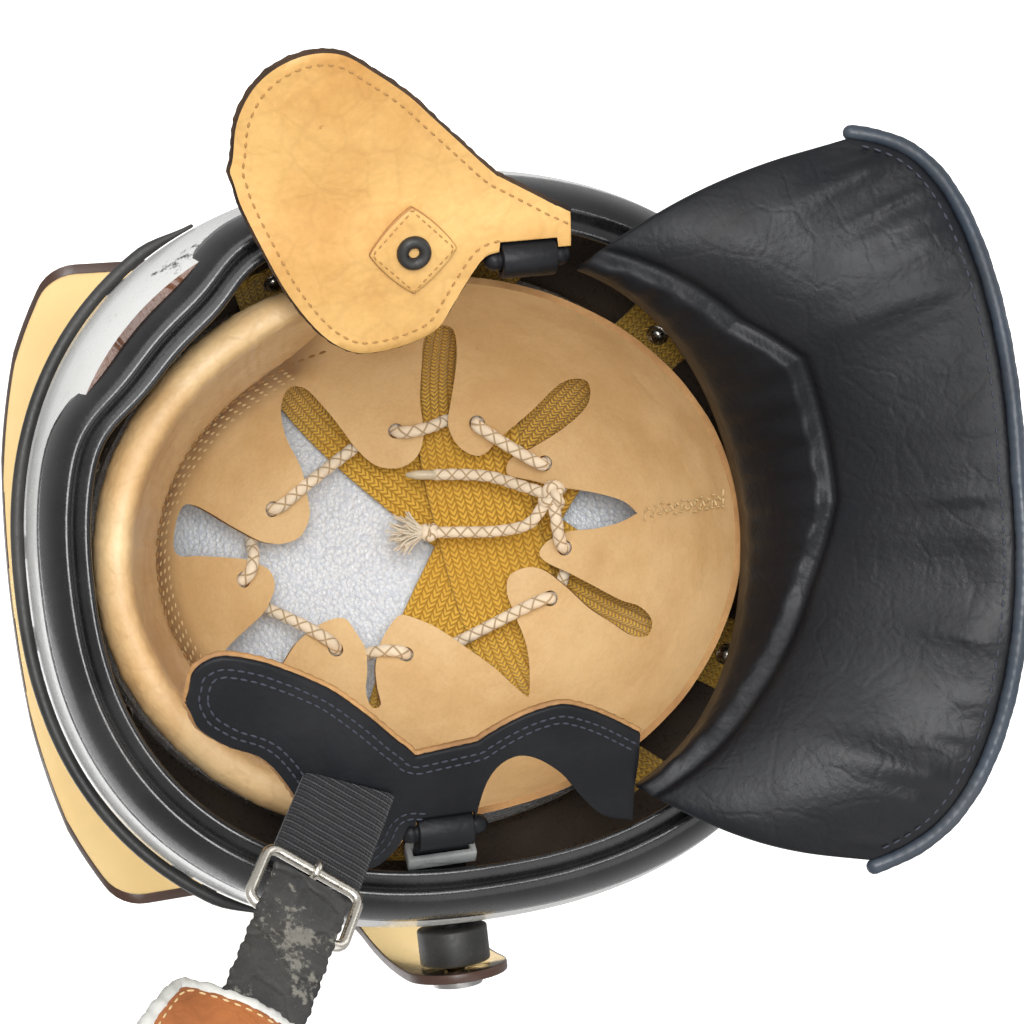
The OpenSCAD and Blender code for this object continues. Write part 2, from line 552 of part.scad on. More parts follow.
module flap_hem(side, from) color(black_leather)
    translate([side * hinge_x, from - hem_past, hinge_z]) rotate([-90, 0, 0])
        cylinder(r = hem_r, h = hanger_w + 2 * hem_past);
patch_y = [1, -31];    // middle of the patch on the left flap and on the right one
patch_q = 6;
patch_half = 14;
patch_t = 1.2;
module on_lining(side, angle)
    translate(flap_place(side, angle, patch_y[side > 0 ? 0 : 1], patch_q, -flap_t - hair))
    rotate([0, side * (90 - angle) + 180, 0]) children();
module flap_patch(side, angle) color(tan_leather)
    on_lining(side, angle) translate([0, 0, gap]) rotate([0, 0, 45]) difference() {
        translate([-patch_half * 0.7, -patch_half * 0.7, 0]) cube([patch_half * 1.4, patch_half * 1.4, patch_t]);
        translate([0, 0, -1]) cylinder(r = 1.8, h = patch_t + 2);
    }
module flap_eyelet(side, angle) color(black_rubber)
    on_lining(side, angle) translate([0, 0, gap + patch_t + hair]) rotate_extrude()
        polygon([[1.8, 0], [eyelet_r, 0], [eyelet_r - 0.3, 1.2], [eyelet_r - 1.4, 1.9], [2.6, 1.6], [1.8, 1]]);

module left_flap_cover() color(black_leather) flap_layer(1, left_angle, 0, flap_t);
module left_flap_lining() color(tan_leather) flap_layer(1, left_angle, -flap_t - hair, -hair);
module left_flap_hem() flap_hem(1, left_hanger_y);
module left_flap_patch() flap_patch(1, left_angle);
module left_flap_eyelet() flap_eyelet(1, left_angle);
module right_flap_cover() color(black_leather) flap_layer(-1, right_angle, 0, flap_t);
module right_flap_lining() color(tan_leather) flap_layer(-1, right_angle, -flap_t - hair, -hair);
module right_flap_hem() flap_hem(-1, right_hanger_y);
module right_flap_patch() flap_patch(-1, right_angle);
module right_flap_eyelet() flap_eyelet(-1, right_angle);

// Hanger straps: a leather loop round the rolled hem, and a strap up to the shell's wall behind the trim
hanger_t = 2.4;
hanger_top_z = 4;
// Its side runs up from the loop, past the trim at the knee, and then flat on to the wall
hanger_foot = [hinge_x + 2, hinge_z + hem_r + gap + 0.8];
knee_z = -8;
wall_clear = 0.8;   // the wall's facets lie inside its true curve
function far_y(y) = abs(y - shell_y) > abs(y + hanger_w - shell_y) ? y : y + hanger_w;
function knee(y) = [wall_x(far_y(y), knee_z, shell_t) - 6.4, knee_z];
module hanger(side, y) {
    foot = hanger_foot;
    bend = knee(y);
    low = [wall_x(far_y(y), hanger_top_z - 5, shell_t) - wall_clear, hanger_top_z - 5];
    high = [wall_x(far_y(y), hanger_top_z + 2, shell_t) - wall_clear, hanger_top_z + 2];
    dir = unit(bend - foot);
    across = [-dir[1], dir[0]] * hanger_t / 2;
    color(black_leather) mirror([side < 0 ? 1 : 0, 0, 0]) translate([0, y + hanger_w, 0]) rotate([90, 0, 0])
        difference() {
            union() {
                translate([hinge_x, hinge_z]) cylinder(r = loop_r, h = hanger_w);
                linear_extrude(hanger_w)
                    polygon([foot - across, bend - across, low, high, bend + across, foot + across]);
            }
            translate([hinge_x, hinge_z, -1]) cylinder(r = hem_r + gap, h = hanger_w + 2);
        }
}
module left_hanger_strap() hanger(1, left_hanger_y);
module right_hanger_strap() hanger(-1, right_hanger_y);

// Grey keeper round the right hanger strap
keeper_w = 5;
keeper_up = 9.5;    // how far up the strap it sits
module right_strap_keeper() color(grey_leather) {
    dir = unit(knee(right_hanger_y) - hanger_foot);
    at = hanger_foot + dir * keeper_up;
    mirror([1, 0, 0]) translate([at[0], right_hanger_y + hanger_w / 2, at[1]])
        rotate([0, -atan2(dir[1], dir[0]), 0]) difference() {
            cube([keeper_w, hanger_w + 4.4, hanger_t + 4.4], center = true);
            cube([keeper_w + 2, hanger_w + 2 * gap, hanger_t + 2 * gap], center = true);
        }
}

// Chin strap, drawn along +X from its root, with +Z its outer face, then turned and dropped
strap_turn = 217;  // heading in plan, from +X
strap_root = [-63, -36, -44];
module strap_frame() translate(strap_root) rotate([0, 0, strap_turn]) rotate([0, strap_drop, 0]) children();
buckle_in = strap_w / 2 + 1;
buckle_l = 18;
rib = 0.35;
strap_back = 10;    // how far the webbing runs back past its root before it is cut along the flap
eye_w = 4;
eye_r = wire_r + gap + 1;
module chin_strap_webbing() color([0.13, 0.13, 0.14]) difference() {
    strap_frame() difference() {
        union() {
            translate([-strap_back, -strap_w / 2, 0]) cube([strap_back + strap_l - wire_r - gap, strap_w, strap_t]);
            for (x = [2 : 2 : strap_l - 4]) translate([x, -strap_w / 2, strap_t - 0.1]) cube([1, strap_w, rib]);
        }
        translate([strap_l - eye_r - 2 * gap, -eye_w / 2 - gap, -1]) cube([eye_r * 2, eye_w + 2 * gap, strap_t + 2]);
    }
    translate([-hinge_x, strap_root[1], hinge_z]) rotate([0, atan2(-cos(right_angle), sin(right_angle)), 0])
        translate([-50, -50, flap_t + cup_depth + 0.7 - 100]) cube(100);
}
// Rectangular wire frame with rounded corners, its plane along the strap
module wire_bar(from, to) {
    d = to - from;
    translate(from) rotate([0, acos(d[2] / norm(d)), atan2(d[1], d[0])]) cylinder(r = wire_r, h = norm(d), $fn = 24);
}
bar_x = strap_l;
frame_z = strap_t / 2;
module chin_strap_buckle() color(steel) strap_frame() {
    c = [[bar_x, -buckle_in], [bar_x + buckle_l, -buckle_in], [bar_x + buckle_l, buckle_in], [bar_x, buckle_in]];
    union() {
        for (k = [0 : 3]) wire_bar([c[k][0], c[k][1], frame_z], [c[(k + 1) % 4][0], c[(k + 1) % 4][1], frame_z]);
        for (p = c) translate([p[0], p[1], frame_z]) sphere(r = wire_r, $fn = 24);
    }
}
// Leather tail: it passes under the frame's far bar and goes on to the chin cup
tail_x = bar_x + wire_r + gap;
tail_drop = wire_r + gap;
module chin_strap_tail() color(black_leather) strap_frame() {
    x0 = tail_x + 4;
    translate([0, strap_w / 2 - 2, 0]) rotate([90, 0, 0]) linear_extrude(strap_w - 4)
        polygon([[x0, frame_z - tail_drop - strap_t], [x0 + tail_l, frame_z - tail_drop - strap_t],
            [x0 + tail_l, frame_z - tail_drop], [x0, frame_z - tail_drop]]);
}
// Prong: an eye round the near bar and a pin that rests on the far bar
module buckle_prong() color(steel) strap_frame() {
    translate([bar_x, 0, frame_z]) rotate([90, 0, 0]) translate([0, 0, -eye_w / 2]) difference() {
        union() {
            cylinder(r = eye_r, h = eye_w, $fn = 32);
            translate([0, wire_r + gap, 1]) cube([buckle_l + 1, 1.4, eye_w - 2]);
        }
        translate([0, 0, -1]) cylinder(r = wire_r + gap / 2, h = eye_w + 2, $fn = 32);
    }
}

// Chin cup: a dished leather pad on the tail's end, with its lining and a light binding round the edge
cup_x = tail_x + 4 + tail_l + gap;
cup_dish = 9;
cup_t = 2.4;
lining_t = 1.7;
cup_cols = 12;
cup_rows = 8;
function cup_outline(v) = 0.82 + 0.18 * sin(180 * v);
function cup_pt(u, v, h) = [cup_x + cup_l * v, cup_w / 2 * u * cup_outline(v),
    frame_z - tail_drop - strap_t / 2 - h + cup_dish * (u * u * 0.8 - sin(180 * v) * 0.35)];
function cup_grid(h, inset) = [for (j = [0 : cup_rows]) [for (i = [0 : cup_cols])
    cup_pt((i / cup_cols * 2 - 1) * (1 - inset), inset / 2 + j / cup_rows * (1 - inset), h)]];
module cup_layer(high, low, inset) strap_frame() sheet_solid(cup_grid(low, inset), cup_grid(high, inset));
module chin_cup_leather() color(grey_leather) cup_layer(-cup_t, 0, 0.06);
module chin_cup_lining() color([0.5, 0.3, 0.18]) cup_layer(hair, lining_t + hair, 0.06);
// The binding is a square-section cord round the edges of both layers
cup_edge = concat([for (i = [0 : cup_cols - 1]) [i / cup_cols * 2 - 1, 0]], [for (j = [0 : cup_rows - 1]) [1, j / cup_rows]],
    [for (i = [0 : cup_cols - 1]) [1 - i / cup_cols * 2, 1]], [for (j = [0 : cup_rows - 1]) [-1, 1 - j / cup_rows]]);
function binding_ring(k) = let (m = cup_edge[k], s = 0.945, a = [m[0] * s, 0.5 + (m[1] - 0.5) * s], b = m)
    [cup_pt(a[0], a[1], -cup_t - hair), cup_pt(a[0], a[1], lining_t + 2 * hair),
     cup_pt(b[0], b[1], lining_t + 2 * hair), cup_pt(b[0], b[1], -cup_t - hair)];
module chin_cup_binding() color([0.8, 0.8, 0.78]) strap_frame()
    ring_sweep([for (k = [0 : len(cup_edge) - 1]) binding_ring(k)], closed = true);

// Neck guard: padded leather from the seam under the headband out to the hem, gathered along the hem
guard_span = 62;   // half of its arc at the seam, in degrees from the nape
guard_fan = 75;
guard_cols = 44;
guard_rows = 9;
guard_end_z = -30;
guard_seam_z = -1.2;
guard_out_rx = 106;
guard_centre_y = 101;   // middle of the hem's arc
guard_out_ry = guard_y - guard_centre_y;
seam_out = [6, 2.1];    // how far the seam lies outside the headband's inner face, at the sides and behind
guard_end_out_z = guard_z + 14;
puckers = 22;
guard_sag = 18.2;  // how far the pad dips below the straight line to its hem
guard_swell = 6;   // how far its side edges swell outward
function seam_pt(s) = let (a = guard_span * s)
    [(band_rx + seam_out[0]) * sin(a), band_y + (band_ry + seam_out[1]) * cos(a),
     lerp(guard_seam_z, guard_end_z, smooth(abs(s) * 1.1 - 0.1))];
function hem_pt(s) = let (a = guard_fan * s)
    [guard_out_rx * sin(a), guard_centre_y + guard_out_ry * cos(a) + guard_flare * pow(max(0, s), 1.2),
     lerp(guard_z, guard_end_out_z, s * s)];
function guard_mid(s, v) = let (d = guard_sag * sin(180 * pow(v, 0.55)) * (1 - 0.55 * s * s))
    lerp(seam_pt(s), hem_pt(s), pow(v, 1.15)) + [guard_swell * pow(s, 5) * sin(180 * v), 0, -d];
function guard_thick(s, v) = 1.6 + (guard_t - 1.6) * pow(sin(180 * v), 0.6) * pow(1 - pow(abs(s), 6), 0.5)
    * (1 + 0.14 * cos(180 * puckers * s) * v);
function guard_round(s) = 1 - 0.1 * pow(abs(s), 8);
function guard_side(up) = [for (j = [0 : guard_rows]) [for (i = [0 : guard_cols])
    let (s = 1 - 2 * i / guard_cols, v = j / guard_rows, e = 0.02,
         du = guard_mid(s - e, v) - guard_mid(s + e, v),
         dv = guard_mid(s, min(1, v + e)) - guard_mid(s, max(0, v - e)), n = unit(cross(du, dv)))
    guard_mid(s, v * guard_round(s)) + n * guard_thick(s, v) / 2 * up]];
module neck_guard_pad() color(black_leather) sheet_solid(guard_side(1), guard_side(-1));
hem_edge_r = 2.2;
function guard_edge(s) = guard_mid(s, guard_round(s));
// Away from the pad, in its surface and square to its edge
function guard_out(s) = let (e = 0.03, t = unit(guard_edge(min(1, s + e)) - guard_edge(max(-1, s - e))),
    d = guard_edge(s) - guard_mid(s, guard_round(s) - e)) unit(d - t * (d * t));
module neck_guard_hem() color(black_leather)
    tube([for (i = [0 : guard_cols]) let (s = 1 - 2 * i / guard_cols) guard_edge(s) + guard_out(s) * (hem_edge_r + gap)],
        [for (i = [0 : guard_cols]) [0, 0, 1]], hem_edge_r);

outer_shell();
rim_trim();
brow_seal();
visor_buffers();
foam_liner();
inner_skirt();
skirt_rivets();
webbing_front_left();
webbing_transverse();
webbing_front_right();
leather_liner();
brow_pad();
lacing_cord();
lacing_knot();
lacing_tail_long();
lacing_tip();
lacing_tail_short();
lacing_tassel();
visor_pivot_bosses();
visor_pivot_screws();
visor_plate();
left_hanger_strap();
right_hanger_strap();
right_strap_keeper();
left_flap_cover();
left_flap_lining();
left_flap_hem();
left_flap_patch();
left_flap_eyelet();
right_flap_cover();
right_flap_lining();
right_flap_hem();
right_flap_patch();
right_flap_eyelet();
chin_strap_webbing();
chin_strap_buckle();
chin_strap_tail();
buckle_prong();
chin_cup_leather();
chin_cup_lining();
chin_cup_binding();
neck_guard_pad();
neck_guard_hem();
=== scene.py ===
"""Riot helmet: laced leather liner, crown webbing, visor, ear flaps, chin strap and padded neck guard."""

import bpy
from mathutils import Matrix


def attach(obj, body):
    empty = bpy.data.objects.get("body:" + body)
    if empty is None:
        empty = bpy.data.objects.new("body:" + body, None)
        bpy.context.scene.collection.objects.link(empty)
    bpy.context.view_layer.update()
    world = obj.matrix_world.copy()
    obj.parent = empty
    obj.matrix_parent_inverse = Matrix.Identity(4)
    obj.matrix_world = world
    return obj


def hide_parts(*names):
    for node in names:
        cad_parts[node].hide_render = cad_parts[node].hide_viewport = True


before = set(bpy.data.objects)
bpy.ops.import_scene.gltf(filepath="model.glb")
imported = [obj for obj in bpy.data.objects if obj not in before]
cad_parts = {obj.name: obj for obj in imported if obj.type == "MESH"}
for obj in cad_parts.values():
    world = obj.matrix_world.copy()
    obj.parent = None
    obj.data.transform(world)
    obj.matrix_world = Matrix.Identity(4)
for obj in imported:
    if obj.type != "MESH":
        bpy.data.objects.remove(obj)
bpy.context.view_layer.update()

import bmesh
import bpy
import numpy as np
from bpy.props import FloatProperty, FloatVectorProperty, IntProperty, PointerProperty
from mathutils import Matrix
from mathutils.geometry import delaunay_2d_cdt

bl_info = {
    "name": "Riot Helmet",
    "version": (1, 0, 0),
    "blender": (4, 5, 0),
    "location": "View3D > Sidebar > Riot Helmet",
    "description": "Builds a riot helmet with its liner, lacing, visor, ear flaps, chin strap and neck guard",
    "category": "Object",
}

MM = 0.001
GOLDEN = 2.39996        # golden angle in radians
BRAID_PITCH = 5.2       # length of the cord's pattern, in millimetres


# Numbers and vectors

def lerp(a, b, t):
    return a + (b - a) * t


def smooth(t):
    c = np.clip(t, 0, 1)
    return c * c * (3 - 2 * c)


def unit(v):
    v = np.asarray(v, float)
    return v / np.maximum(np.linalg.norm(v, axis=-1, keepdims=True), 1e-9)


def vec(x, y, z):
    return np.stack(np.broadcast_arrays(x, y, z), -1).astype(float)


def sin(degrees):
    return np.sin(np.radians(degrees))


def cos(degrees):
    return np.cos(np.radians(degrees))


def signed_pow(v, p):
    return np.sign(v) * np.abs(v) ** p


def ripple(p, size, seed=0.0):
    """Slow random-looking waves over points, about -1 to 1, with a wave of about the given size."""
    p = np.asarray(p, float) / size * 2 * np.pi
    x, y, z = p[..., 0], p[..., 1], p[..., 2]
    return (np.sin(x + 1.7 * np.sin(0.6 * y + seed) + seed)
            + np.sin(0.8 * y + 1.3 * np.sin(0.7 * z + 2 * seed) + 1.1)
            + np.sin(0.9 * z + 1.5 * np.sin(0.5 * x + 3 * seed) + 2.3)) / 3


def smooth_path(points, steps):
    """Catmull-Rom curve through points, or through rows of points, with so many steps between each two."""
    p = np.asarray(points, float)
    p = np.concatenate([2 * p[:1] - p[1:2], p, 2 * p[-1:] - p[-2:-1]])
    out = []
    for k in range(1, len(p) - 2):
        for t in np.arange(steps) / steps:
            a, b, c, d = p[k - 1], p[k], p[k + 1], p[k + 2]
            out.append(0.5 * (2 * b + (c - a) * t + (2 * a - 5 * b + 4 * c - d) * t ** 2
                              + (3 * b - a - 3 * c + d) * t ** 3))
    return np.array(out + [p[-2]])


def lengths(path):
    """Length along a path at each of its points."""
    step = np.linalg.norm(np.diff(path, axis=0), axis=1)
    return np.concatenate([[0], np.cumsum(step)])


def even_path(path, step):
    """The same path with points an even step apart."""
    path = np.asarray(path, float)
    along = lengths(path)
    at = np.linspace(0, along[-1], max(2, int(round(along[-1] / step)) + 1))
    return np.stack([np.interp(at, along, column) for column in path.T], -1)


def normals_of(rows):
    """Unit normals of a grid of points."""
    return unit(np.cross(np.gradient(rows, axis=1), np.gradient(rows, axis=0)))


# Meshes, gathered in millimetres

class Form:
    """Points and faces of one piece."""
    any_way = (0.31, 0.17, 0.94)    # a direction that no tube starts along

    def __init__(self):
        self.points, self.faces, self.uvs, self.marks, self.count = [], [], [], [], 0

    def add(self, points, faces, uvs=None, mark=0):
        faces = np.asarray(faces, int)
        self.points.append(np.asarray(points, float))
        self.faces.append(faces + self.count)
        self.uvs.append(np.zeros(faces.shape + (2,)) if uvs is None else np.asarray(uvs, float))
        self.marks.append(np.full(len(faces), mark))
        self.count += len(points)

    def grid(self, rows, u=None, v=None, ring=False, mark=0):
        """A sheet of cells through rows of points. A ring joins the last column to the first."""
        rows = np.asarray(rows, float)
        m, n = rows.shape[:2]
        wide = n if ring else n - 1
        u = np.broadcast_to(np.arange(wide + 1) if u is None else u, (m, wide + 1))
        v = np.arange(m) if v is None else np.asarray(v)
        v = np.broadcast_to(v[:, None] if v.ndim == 1 else v, (m, wide + 1))
        j, i = [x.ravel() for x in np.mgrid[0:m - 1, 0:wide]]
        k = (i + 1) % n
        faces = np.stack([j * n + i, j * n + k, (j + 1) * n + k, (j + 1) * n + i], 1)
        uv = np.stack([u, v], -1)
        uvs = np.stack([uv[j, i], uv[j, i + 1], uv[j + 1, i + 1], uv[j + 1, i]], 1)
        self.add(rows.reshape(-1, 3), faces, uvs, mark)

    def slab(self, front, back, ring=False, u=None, v=None, marks=(0, 0, 0), edge=0.0, cap=False):
        """A closed wall between two grids, its edges bulging so far. A cap closes a ring's last row."""
        front, back = np.asarray(front, float), np.asarray(back, float)
        self.grid(front, u, v, ring, marks[0])
        self.grid(back, u, v, ring, marks[1])

        def strip(f, b, inner, closed):
            rows = [f, b]
            if edge:
                out = unit((f + b) / 2 - inner) * edge
                rows = [f, lerp(f, b, 0.2) + out * 0.7, (f + b) / 2 + out, lerp(f, b, 0.8) + out * 0.7, b]
            self.grid(np.stack(rows), ring=closed, mark=marks[2])

        strip(front[0], back[0], (front[1] + back[1]) / 2, ring)
        if cap:
            for side, rows in enumerate((front, back)):
                middle = rows[-1].mean(0, keepdims=True)
                tip = middle + (middle - rows[-2].mean(0, keepdims=True)) * 0.15
                self.grid(np.stack([rows[-1], np.repeat(tip, rows.shape[1], 0)]), ring=True, mark=marks[side],
                          u=u, v=None if v is None else np.asarray(v)[[-1, -1]])
        else:
            strip(front[-1], back[-1], (front[-2] + back[-2]) / 2, ring)
        if not ring:
            strip(front[:, 0], back[:, 0], (front[:, 1] + back[:, 1]) / 2, False)
            strip(front[:, -1], back[:, -1], (front[:, -2] + back[:, -2]) / 2, False)

    def tube(self, path, radius, sides, closed=False, relief=None, mark=0):
        """A tube with round ends. Its radius may change along it, and relief(around, along) raises it."""
        path = np.asarray(path, float)
        m = len(path)
        radius = np.broadcast_to(radius, (m,)).astype(float)
        if closed:
            tangent = unit(np.roll(path, -1, 0) - np.roll(path, 1, 0))
        else:
            tangent = unit(np.gradient(path, axis=0))
        side = np.zeros_like(path)
        side[0] = unit(np.cross(tangent[0], self.any_way))
        for k in range(1, m):
            side[k] = unit(side[k - 1] - tangent[k] * (side[k - 1] @ tangent[k]))
        if closed:
            last = side[-1] - tangent[0] * (side[-1] @ tangent[0])
            other = np.cross(tangent[0], side[0])
            turn = np.arctan2(last @ other, last @ side[0])
            angle = -turn * np.arange(m) / m
            side = side * np.cos(angle)[:, None] + np.cross(tangent, side) * np.sin(angle)[:, None]
        other = np.cross(tangent, side)
        along = lengths(path)
        # Each row's place on the path, its shift along it and its share of the radius
        rows = [(k, 0, 1) for k in range(m)]
        if not closed:
            bend = np.radians([90, 60, 30])
            rows = [(0, -np.sin(b), np.cos(b)) for b in bend] + rows
            rows += [(m - 1, np.sin(b), np.cos(b)) for b in bend[::-1]]
        k = np.array([r[0] for r in rows])
        shift = np.array([r[1] for r in rows]) * radius[k]
        shrink = np.array([r[2] for r in rows])
        turn = 2 * np.pi * np.arange(sides) / sides
        lift = np.ones((len(rows), sides))
        if relief:
            lift = lift + relief(np.arange(sides)[None] / sides, along[k][:, None])
        r = (radius[k] * shrink)[:, None] * lift
        centre = path[k] + tangent[k] * shift[:, None]
        c, s = np.cos(turn)[None, :, None], np.sin(turn)[None, :, None]
        spoke = c * side[k][:, None] + s * other[k][:, None]
        points = centre[:, None] + r[..., None] * spoke
        v = along[k] + shift
        if closed:
            points = np.concatenate([points, points[:1]])
            v = np.append(v, v[-1] + np.linalg.norm(path[0] - path[-1]))
        self.grid(points, u=np.arange(sides + 1) / sides, v=v, ring=True, mark=mark)


def add_object(name, data):
    obj = bpy.data.objects.new(name, data)
    bpy.context.scene.collection.objects.link(obj)
    return obj


def shade(data, angle):
    """Smooth shading, with the edges sharp where the faces turn by more than an angle."""
    data.polygons.foreach_set("use_smooth", [True] * len(data.polygons))
    data.set_sharp_from_angle(angle=np.radians(angle))


def finish_mesh(data, angle):
    """Merges double points, turns the faces outwards and sets the shading."""
    bm = bmesh.new()
    bm.from_mesh(data)
    bmesh.ops.remove_doubles(bm, verts=bm.verts, dist=2e-6)
    bmesh.ops.dissolve_degenerate(bm, edges=bm.edges, dist=1e-7)
    bmesh.ops.recalc_face_normals(bm, faces=bm.faces)
    bm.to_mesh(data)
    bm.free()
    shade(data, angle)
    data.update()


def piece(name, form, materials, body, nodes=(), slot=None, angle=60):
    """Makes the mesh object of one piece, lets it ride on its body and stand for its CAD nodes."""
    data = bpy.data.meshes.new(name)
    data.vertices.add(form.count)
    data.vertices.foreach_set("co", (np.concatenate(form.points) * MM).ravel())
    faces = [f for block in form.faces for f in block]
    sizes = np.array([len(f) for f in faces])
    data.loops.add(int(sizes.sum()))
    data.loops.foreach_set("vertex_index", np.concatenate([b.ravel() for b in form.faces]).astype(np.int32))
    data.polygons.add(len(faces))
    data.polygons.foreach_set("loop_start", np.concatenate([[0], np.cumsum(sizes)[:-1]]).astype(np.int32))
    data.polygons.foreach_set("material_index", np.concatenate(form.marks).astype(np.int32))
    layer = data.uv_layers.new(name="UVMap")
    layer.data.foreach_set("uv", np.concatenate([b.reshape(-1, 2) for b in form.uvs]).ravel() * MM)
    data.update(calc_edges=True)
    finish_mesh(data, angle)
    obj = add_object(name, data)
    for m in [materials] if isinstance(materials, str) else materials:
        data.materials.append(MATERIALS[m])
    return settle(obj, body, nodes, slot)


def settle(obj, body, nodes=(), slot=None):
    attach(obj, body)
    if nodes:
        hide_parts(*nodes)
    return obj


def cad_copy(node, name, material, body, slot=None, bevel=0.0, angle=35):
    """A merged copy of a CAD node with softened edges."""
    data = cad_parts[node].data.copy()
    data.name = name
    data.materials.clear()
    data.materials.append(MATERIALS[material])
    data.polygons.foreach_set("material_index", [0] * len(data.polygons))
    bm = bmesh.new()
    bm.from_mesh(data)
    bmesh.ops.remove_doubles(bm, verts=bm.verts, dist=1e-6)
    bmesh.ops.dissolve_limit(bm, angle_limit=np.radians(2), verts=bm.verts, edges=bm.edges)
    bm.to_mesh(data)
    bm.free()
    obj = add_object(name, data)
    if bevel:
        soft = obj.modifiers.new("Soft edge", "BEVEL")
        soft.width = bevel * MM
        soft.segments = 3
        soft.limit_method = "ANGLE"
        soft.angle_limit = np.radians(angle)
        obj.data = plain_mesh(obj)
        obj.modifiers.clear()
    shade(obj.data, angle)
    return settle(obj, body, [node], slot)


def plain_mesh(obj):
    """The object's evaluated mesh, with its modifiers in it."""
    graph = bpy.context.evaluated_depsgraph_get()
    graph.update()
    return bpy.data.meshes.new_from_object(obj.evaluated_get(graph))


# Shader building

def linear(*c):
    """Linear colour from the display values of a colour."""
    return tuple(x / 12.92 if x <= 0.04045 else ((x + 0.055) / 1.055) ** 2.4 for x in c) + (1.0,)


class Nodes:
    """Short words for building a node tree."""

    def __init__(self, tree):
        self.tree = tree

    def new(self, kind, inputs=None, **settings):
        node = self.tree.nodes.new(kind)
        for k, v in settings.items():
            setattr(node, k, v)
        for k, v in (inputs or {}).items():
            self.put(node.inputs[k], v)
        return node

    def put(self, socket, value):
        if isinstance(value, bpy.types.NodeSocket):
            self.tree.links.new(value, socket)
        elif value is not None:
            socket.default_value = value

    def math(self, operation, a, b=None):
        node = self.new("ShaderNodeMath", {0: a, 1: b}, operation=operation)
        return node.outputs[0]

    def mul(self, a, b):
        return self.math("MULTIPLY", a, b)

    def plus(self, a, b):
        return self.math("ADD", a, b)

    def minus(self, a, b):
        return self.math("SUBTRACT", a, b)

    def ramp(self, value, low, high, a=0.0, b=1.0):
        """Smooth step of a value from low to high, put out as a to b."""
        node = self.new("ShaderNodeMapRange", interpolation_type="SMOOTHSTEP")
        for k, v in enumerate((value, low, high, a, b)):
            self.put(node.inputs[k], v)
        return node.outputs[0]

    def mix(self, share, a, b, blend="MIX"):
        node = self.new("ShaderNodeMix", data_type="RGBA", blend_type=blend)
        self.put(node.inputs[0], share)
        self.put(node.inputs[6], a)
        self.put(node.inputs[7], b)
        return node.outputs[2]

    def noise(self, vector, scale, detail=4.0, rough=0.55, distortion=0.0):
        return self.new("ShaderNodeTexNoise", {"Vector": vector, "Scale": scale, "Detail": detail,
                                               "Roughness": rough, "Distortion": distortion}).outputs[0]

    def bump(self, height, distance, strength=1.0, normal=None):
        node = self.new("ShaderNodeBump", {"Height": height, "Distance": distance * MM, "Strength": strength})
        self.put(node.inputs["Normal"], normal)
        return node.outputs[0]


def shader_group(name, inputs, outputs):
    """A shader node group with named sockets, made once."""
    tree = bpy.data.node_groups.new(name, "ShaderNodeTree")
    for label, kind, value in inputs:
        socket = tree.interface.new_socket(name=label, in_out="INPUT", socket_type="NodeSocket" + kind)
        if value is not None:
            socket.default_value = value
    for label, kind in outputs:
        tree.interface.new_socket(name=label, in_out="OUTPUT", socket_type="NodeSocket" + kind)
    n = Nodes(tree)
    return tree, n, n.new("NodeGroupInput").outputs, n.new("NodeGroupOutput").inputs


def leather_grain_group():
    """Pebbled grain with fine creases. Height is the relief and Tone a slow change of colour."""
    tree, n, i, o = shader_group("Leather grain", [("Vector", "Vector", None), ("Scale", "Float", 700.0),
                                                   ("Crease", "Float", 0.4)],
                                 [("Height", "Float"), ("Tone", "Float")])
    warp = n.noise(i["Vector"], n.mul(i["Scale"], 0.25), 2.0)
    shifted = n.new("ShaderNodeVectorMath", operation="MULTIPLY_ADD")
    n.put(shifted.inputs[0], warp)
    shifted.inputs[1].default_value = (0.003, 0.003, 0.003)
    n.put(shifted.inputs[2], i["Vector"])
    cells = n.new("ShaderNodeTexVoronoi", {"Vector": shifted.outputs[0], "Scale": i["Scale"]},
                  feature="SMOOTH_F1")
    pores = n.noise(i["Vector"], n.mul(i["Scale"], 2.2), 3.0)
    crease = n.new("ShaderNodeTexVoronoi", {"Vector": shifted.outputs[0], "Scale": n.mul(i["Scale"], 0.16)},
                   feature="DISTANCE_TO_EDGE")
    deep = n.mul(n.ramp(crease.outputs[0], 0.0, 0.09, 1.0, 0.0), i["Crease"])
    height = n.minus(n.plus(n.mul(cells.outputs[0], -0.7), n.mul(pores, 0.5)), deep)
    n.put(o["Height"], height)
    slow = n.noise(i["Vector"], n.mul(i["Scale"], 0.035), 5.0, 0.6)
    n.put(o["Tone"], n.ramp(slow, 0.3, 0.7))
    return tree


def scuff_group():
    """Worn places: broad rubbed patches broken up by fine specks."""
    tree, n, i, o = shader_group("Scuffs", [("Vector", "Vector", None), ("Scale", "Float", 40.0),
                                            ("Amount", "Float", 0.3)], [("Mask", "Float")])
    broad = n.noise(i["Vector"], i["Scale"], 6.0, 0.65)
    fine = n.noise(i["Vector"], n.mul(i["Scale"], 9.0), 3.0, 0.7)
    both = n.plus(n.mul(broad, 0.65), n.mul(fine, 0.35))
    edge = n.minus(0.72, n.mul(i["Amount"], 0.35))
    n.put(o["Mask"], n.ramp(both, edge, n.plus(edge, 0.06)))
    return tree


def dust_group():
    """Pale dust that gathers in slow clouds with a fine grit."""
    tree, n, i, o = shader_group("Dust", [("Vector", "Vector", None), ("Amount", "Float", 0.2)],
                                 [("Mask", "Float")])
    cloud = n.ramp(n.noise(i["Vector"], 26.0, 5.0, 0.6), 0.35, 0.75)
    grit = n.ramp(n.noise(i["Vector"], 1400.0, 2.0, 0.7), 0.55, 0.75)
    n.put(o["Mask"], n.mul(n.plus(n.mul(cloud, 0.7), n.mul(grit, 0.3)), i["Amount"]))
    return tree


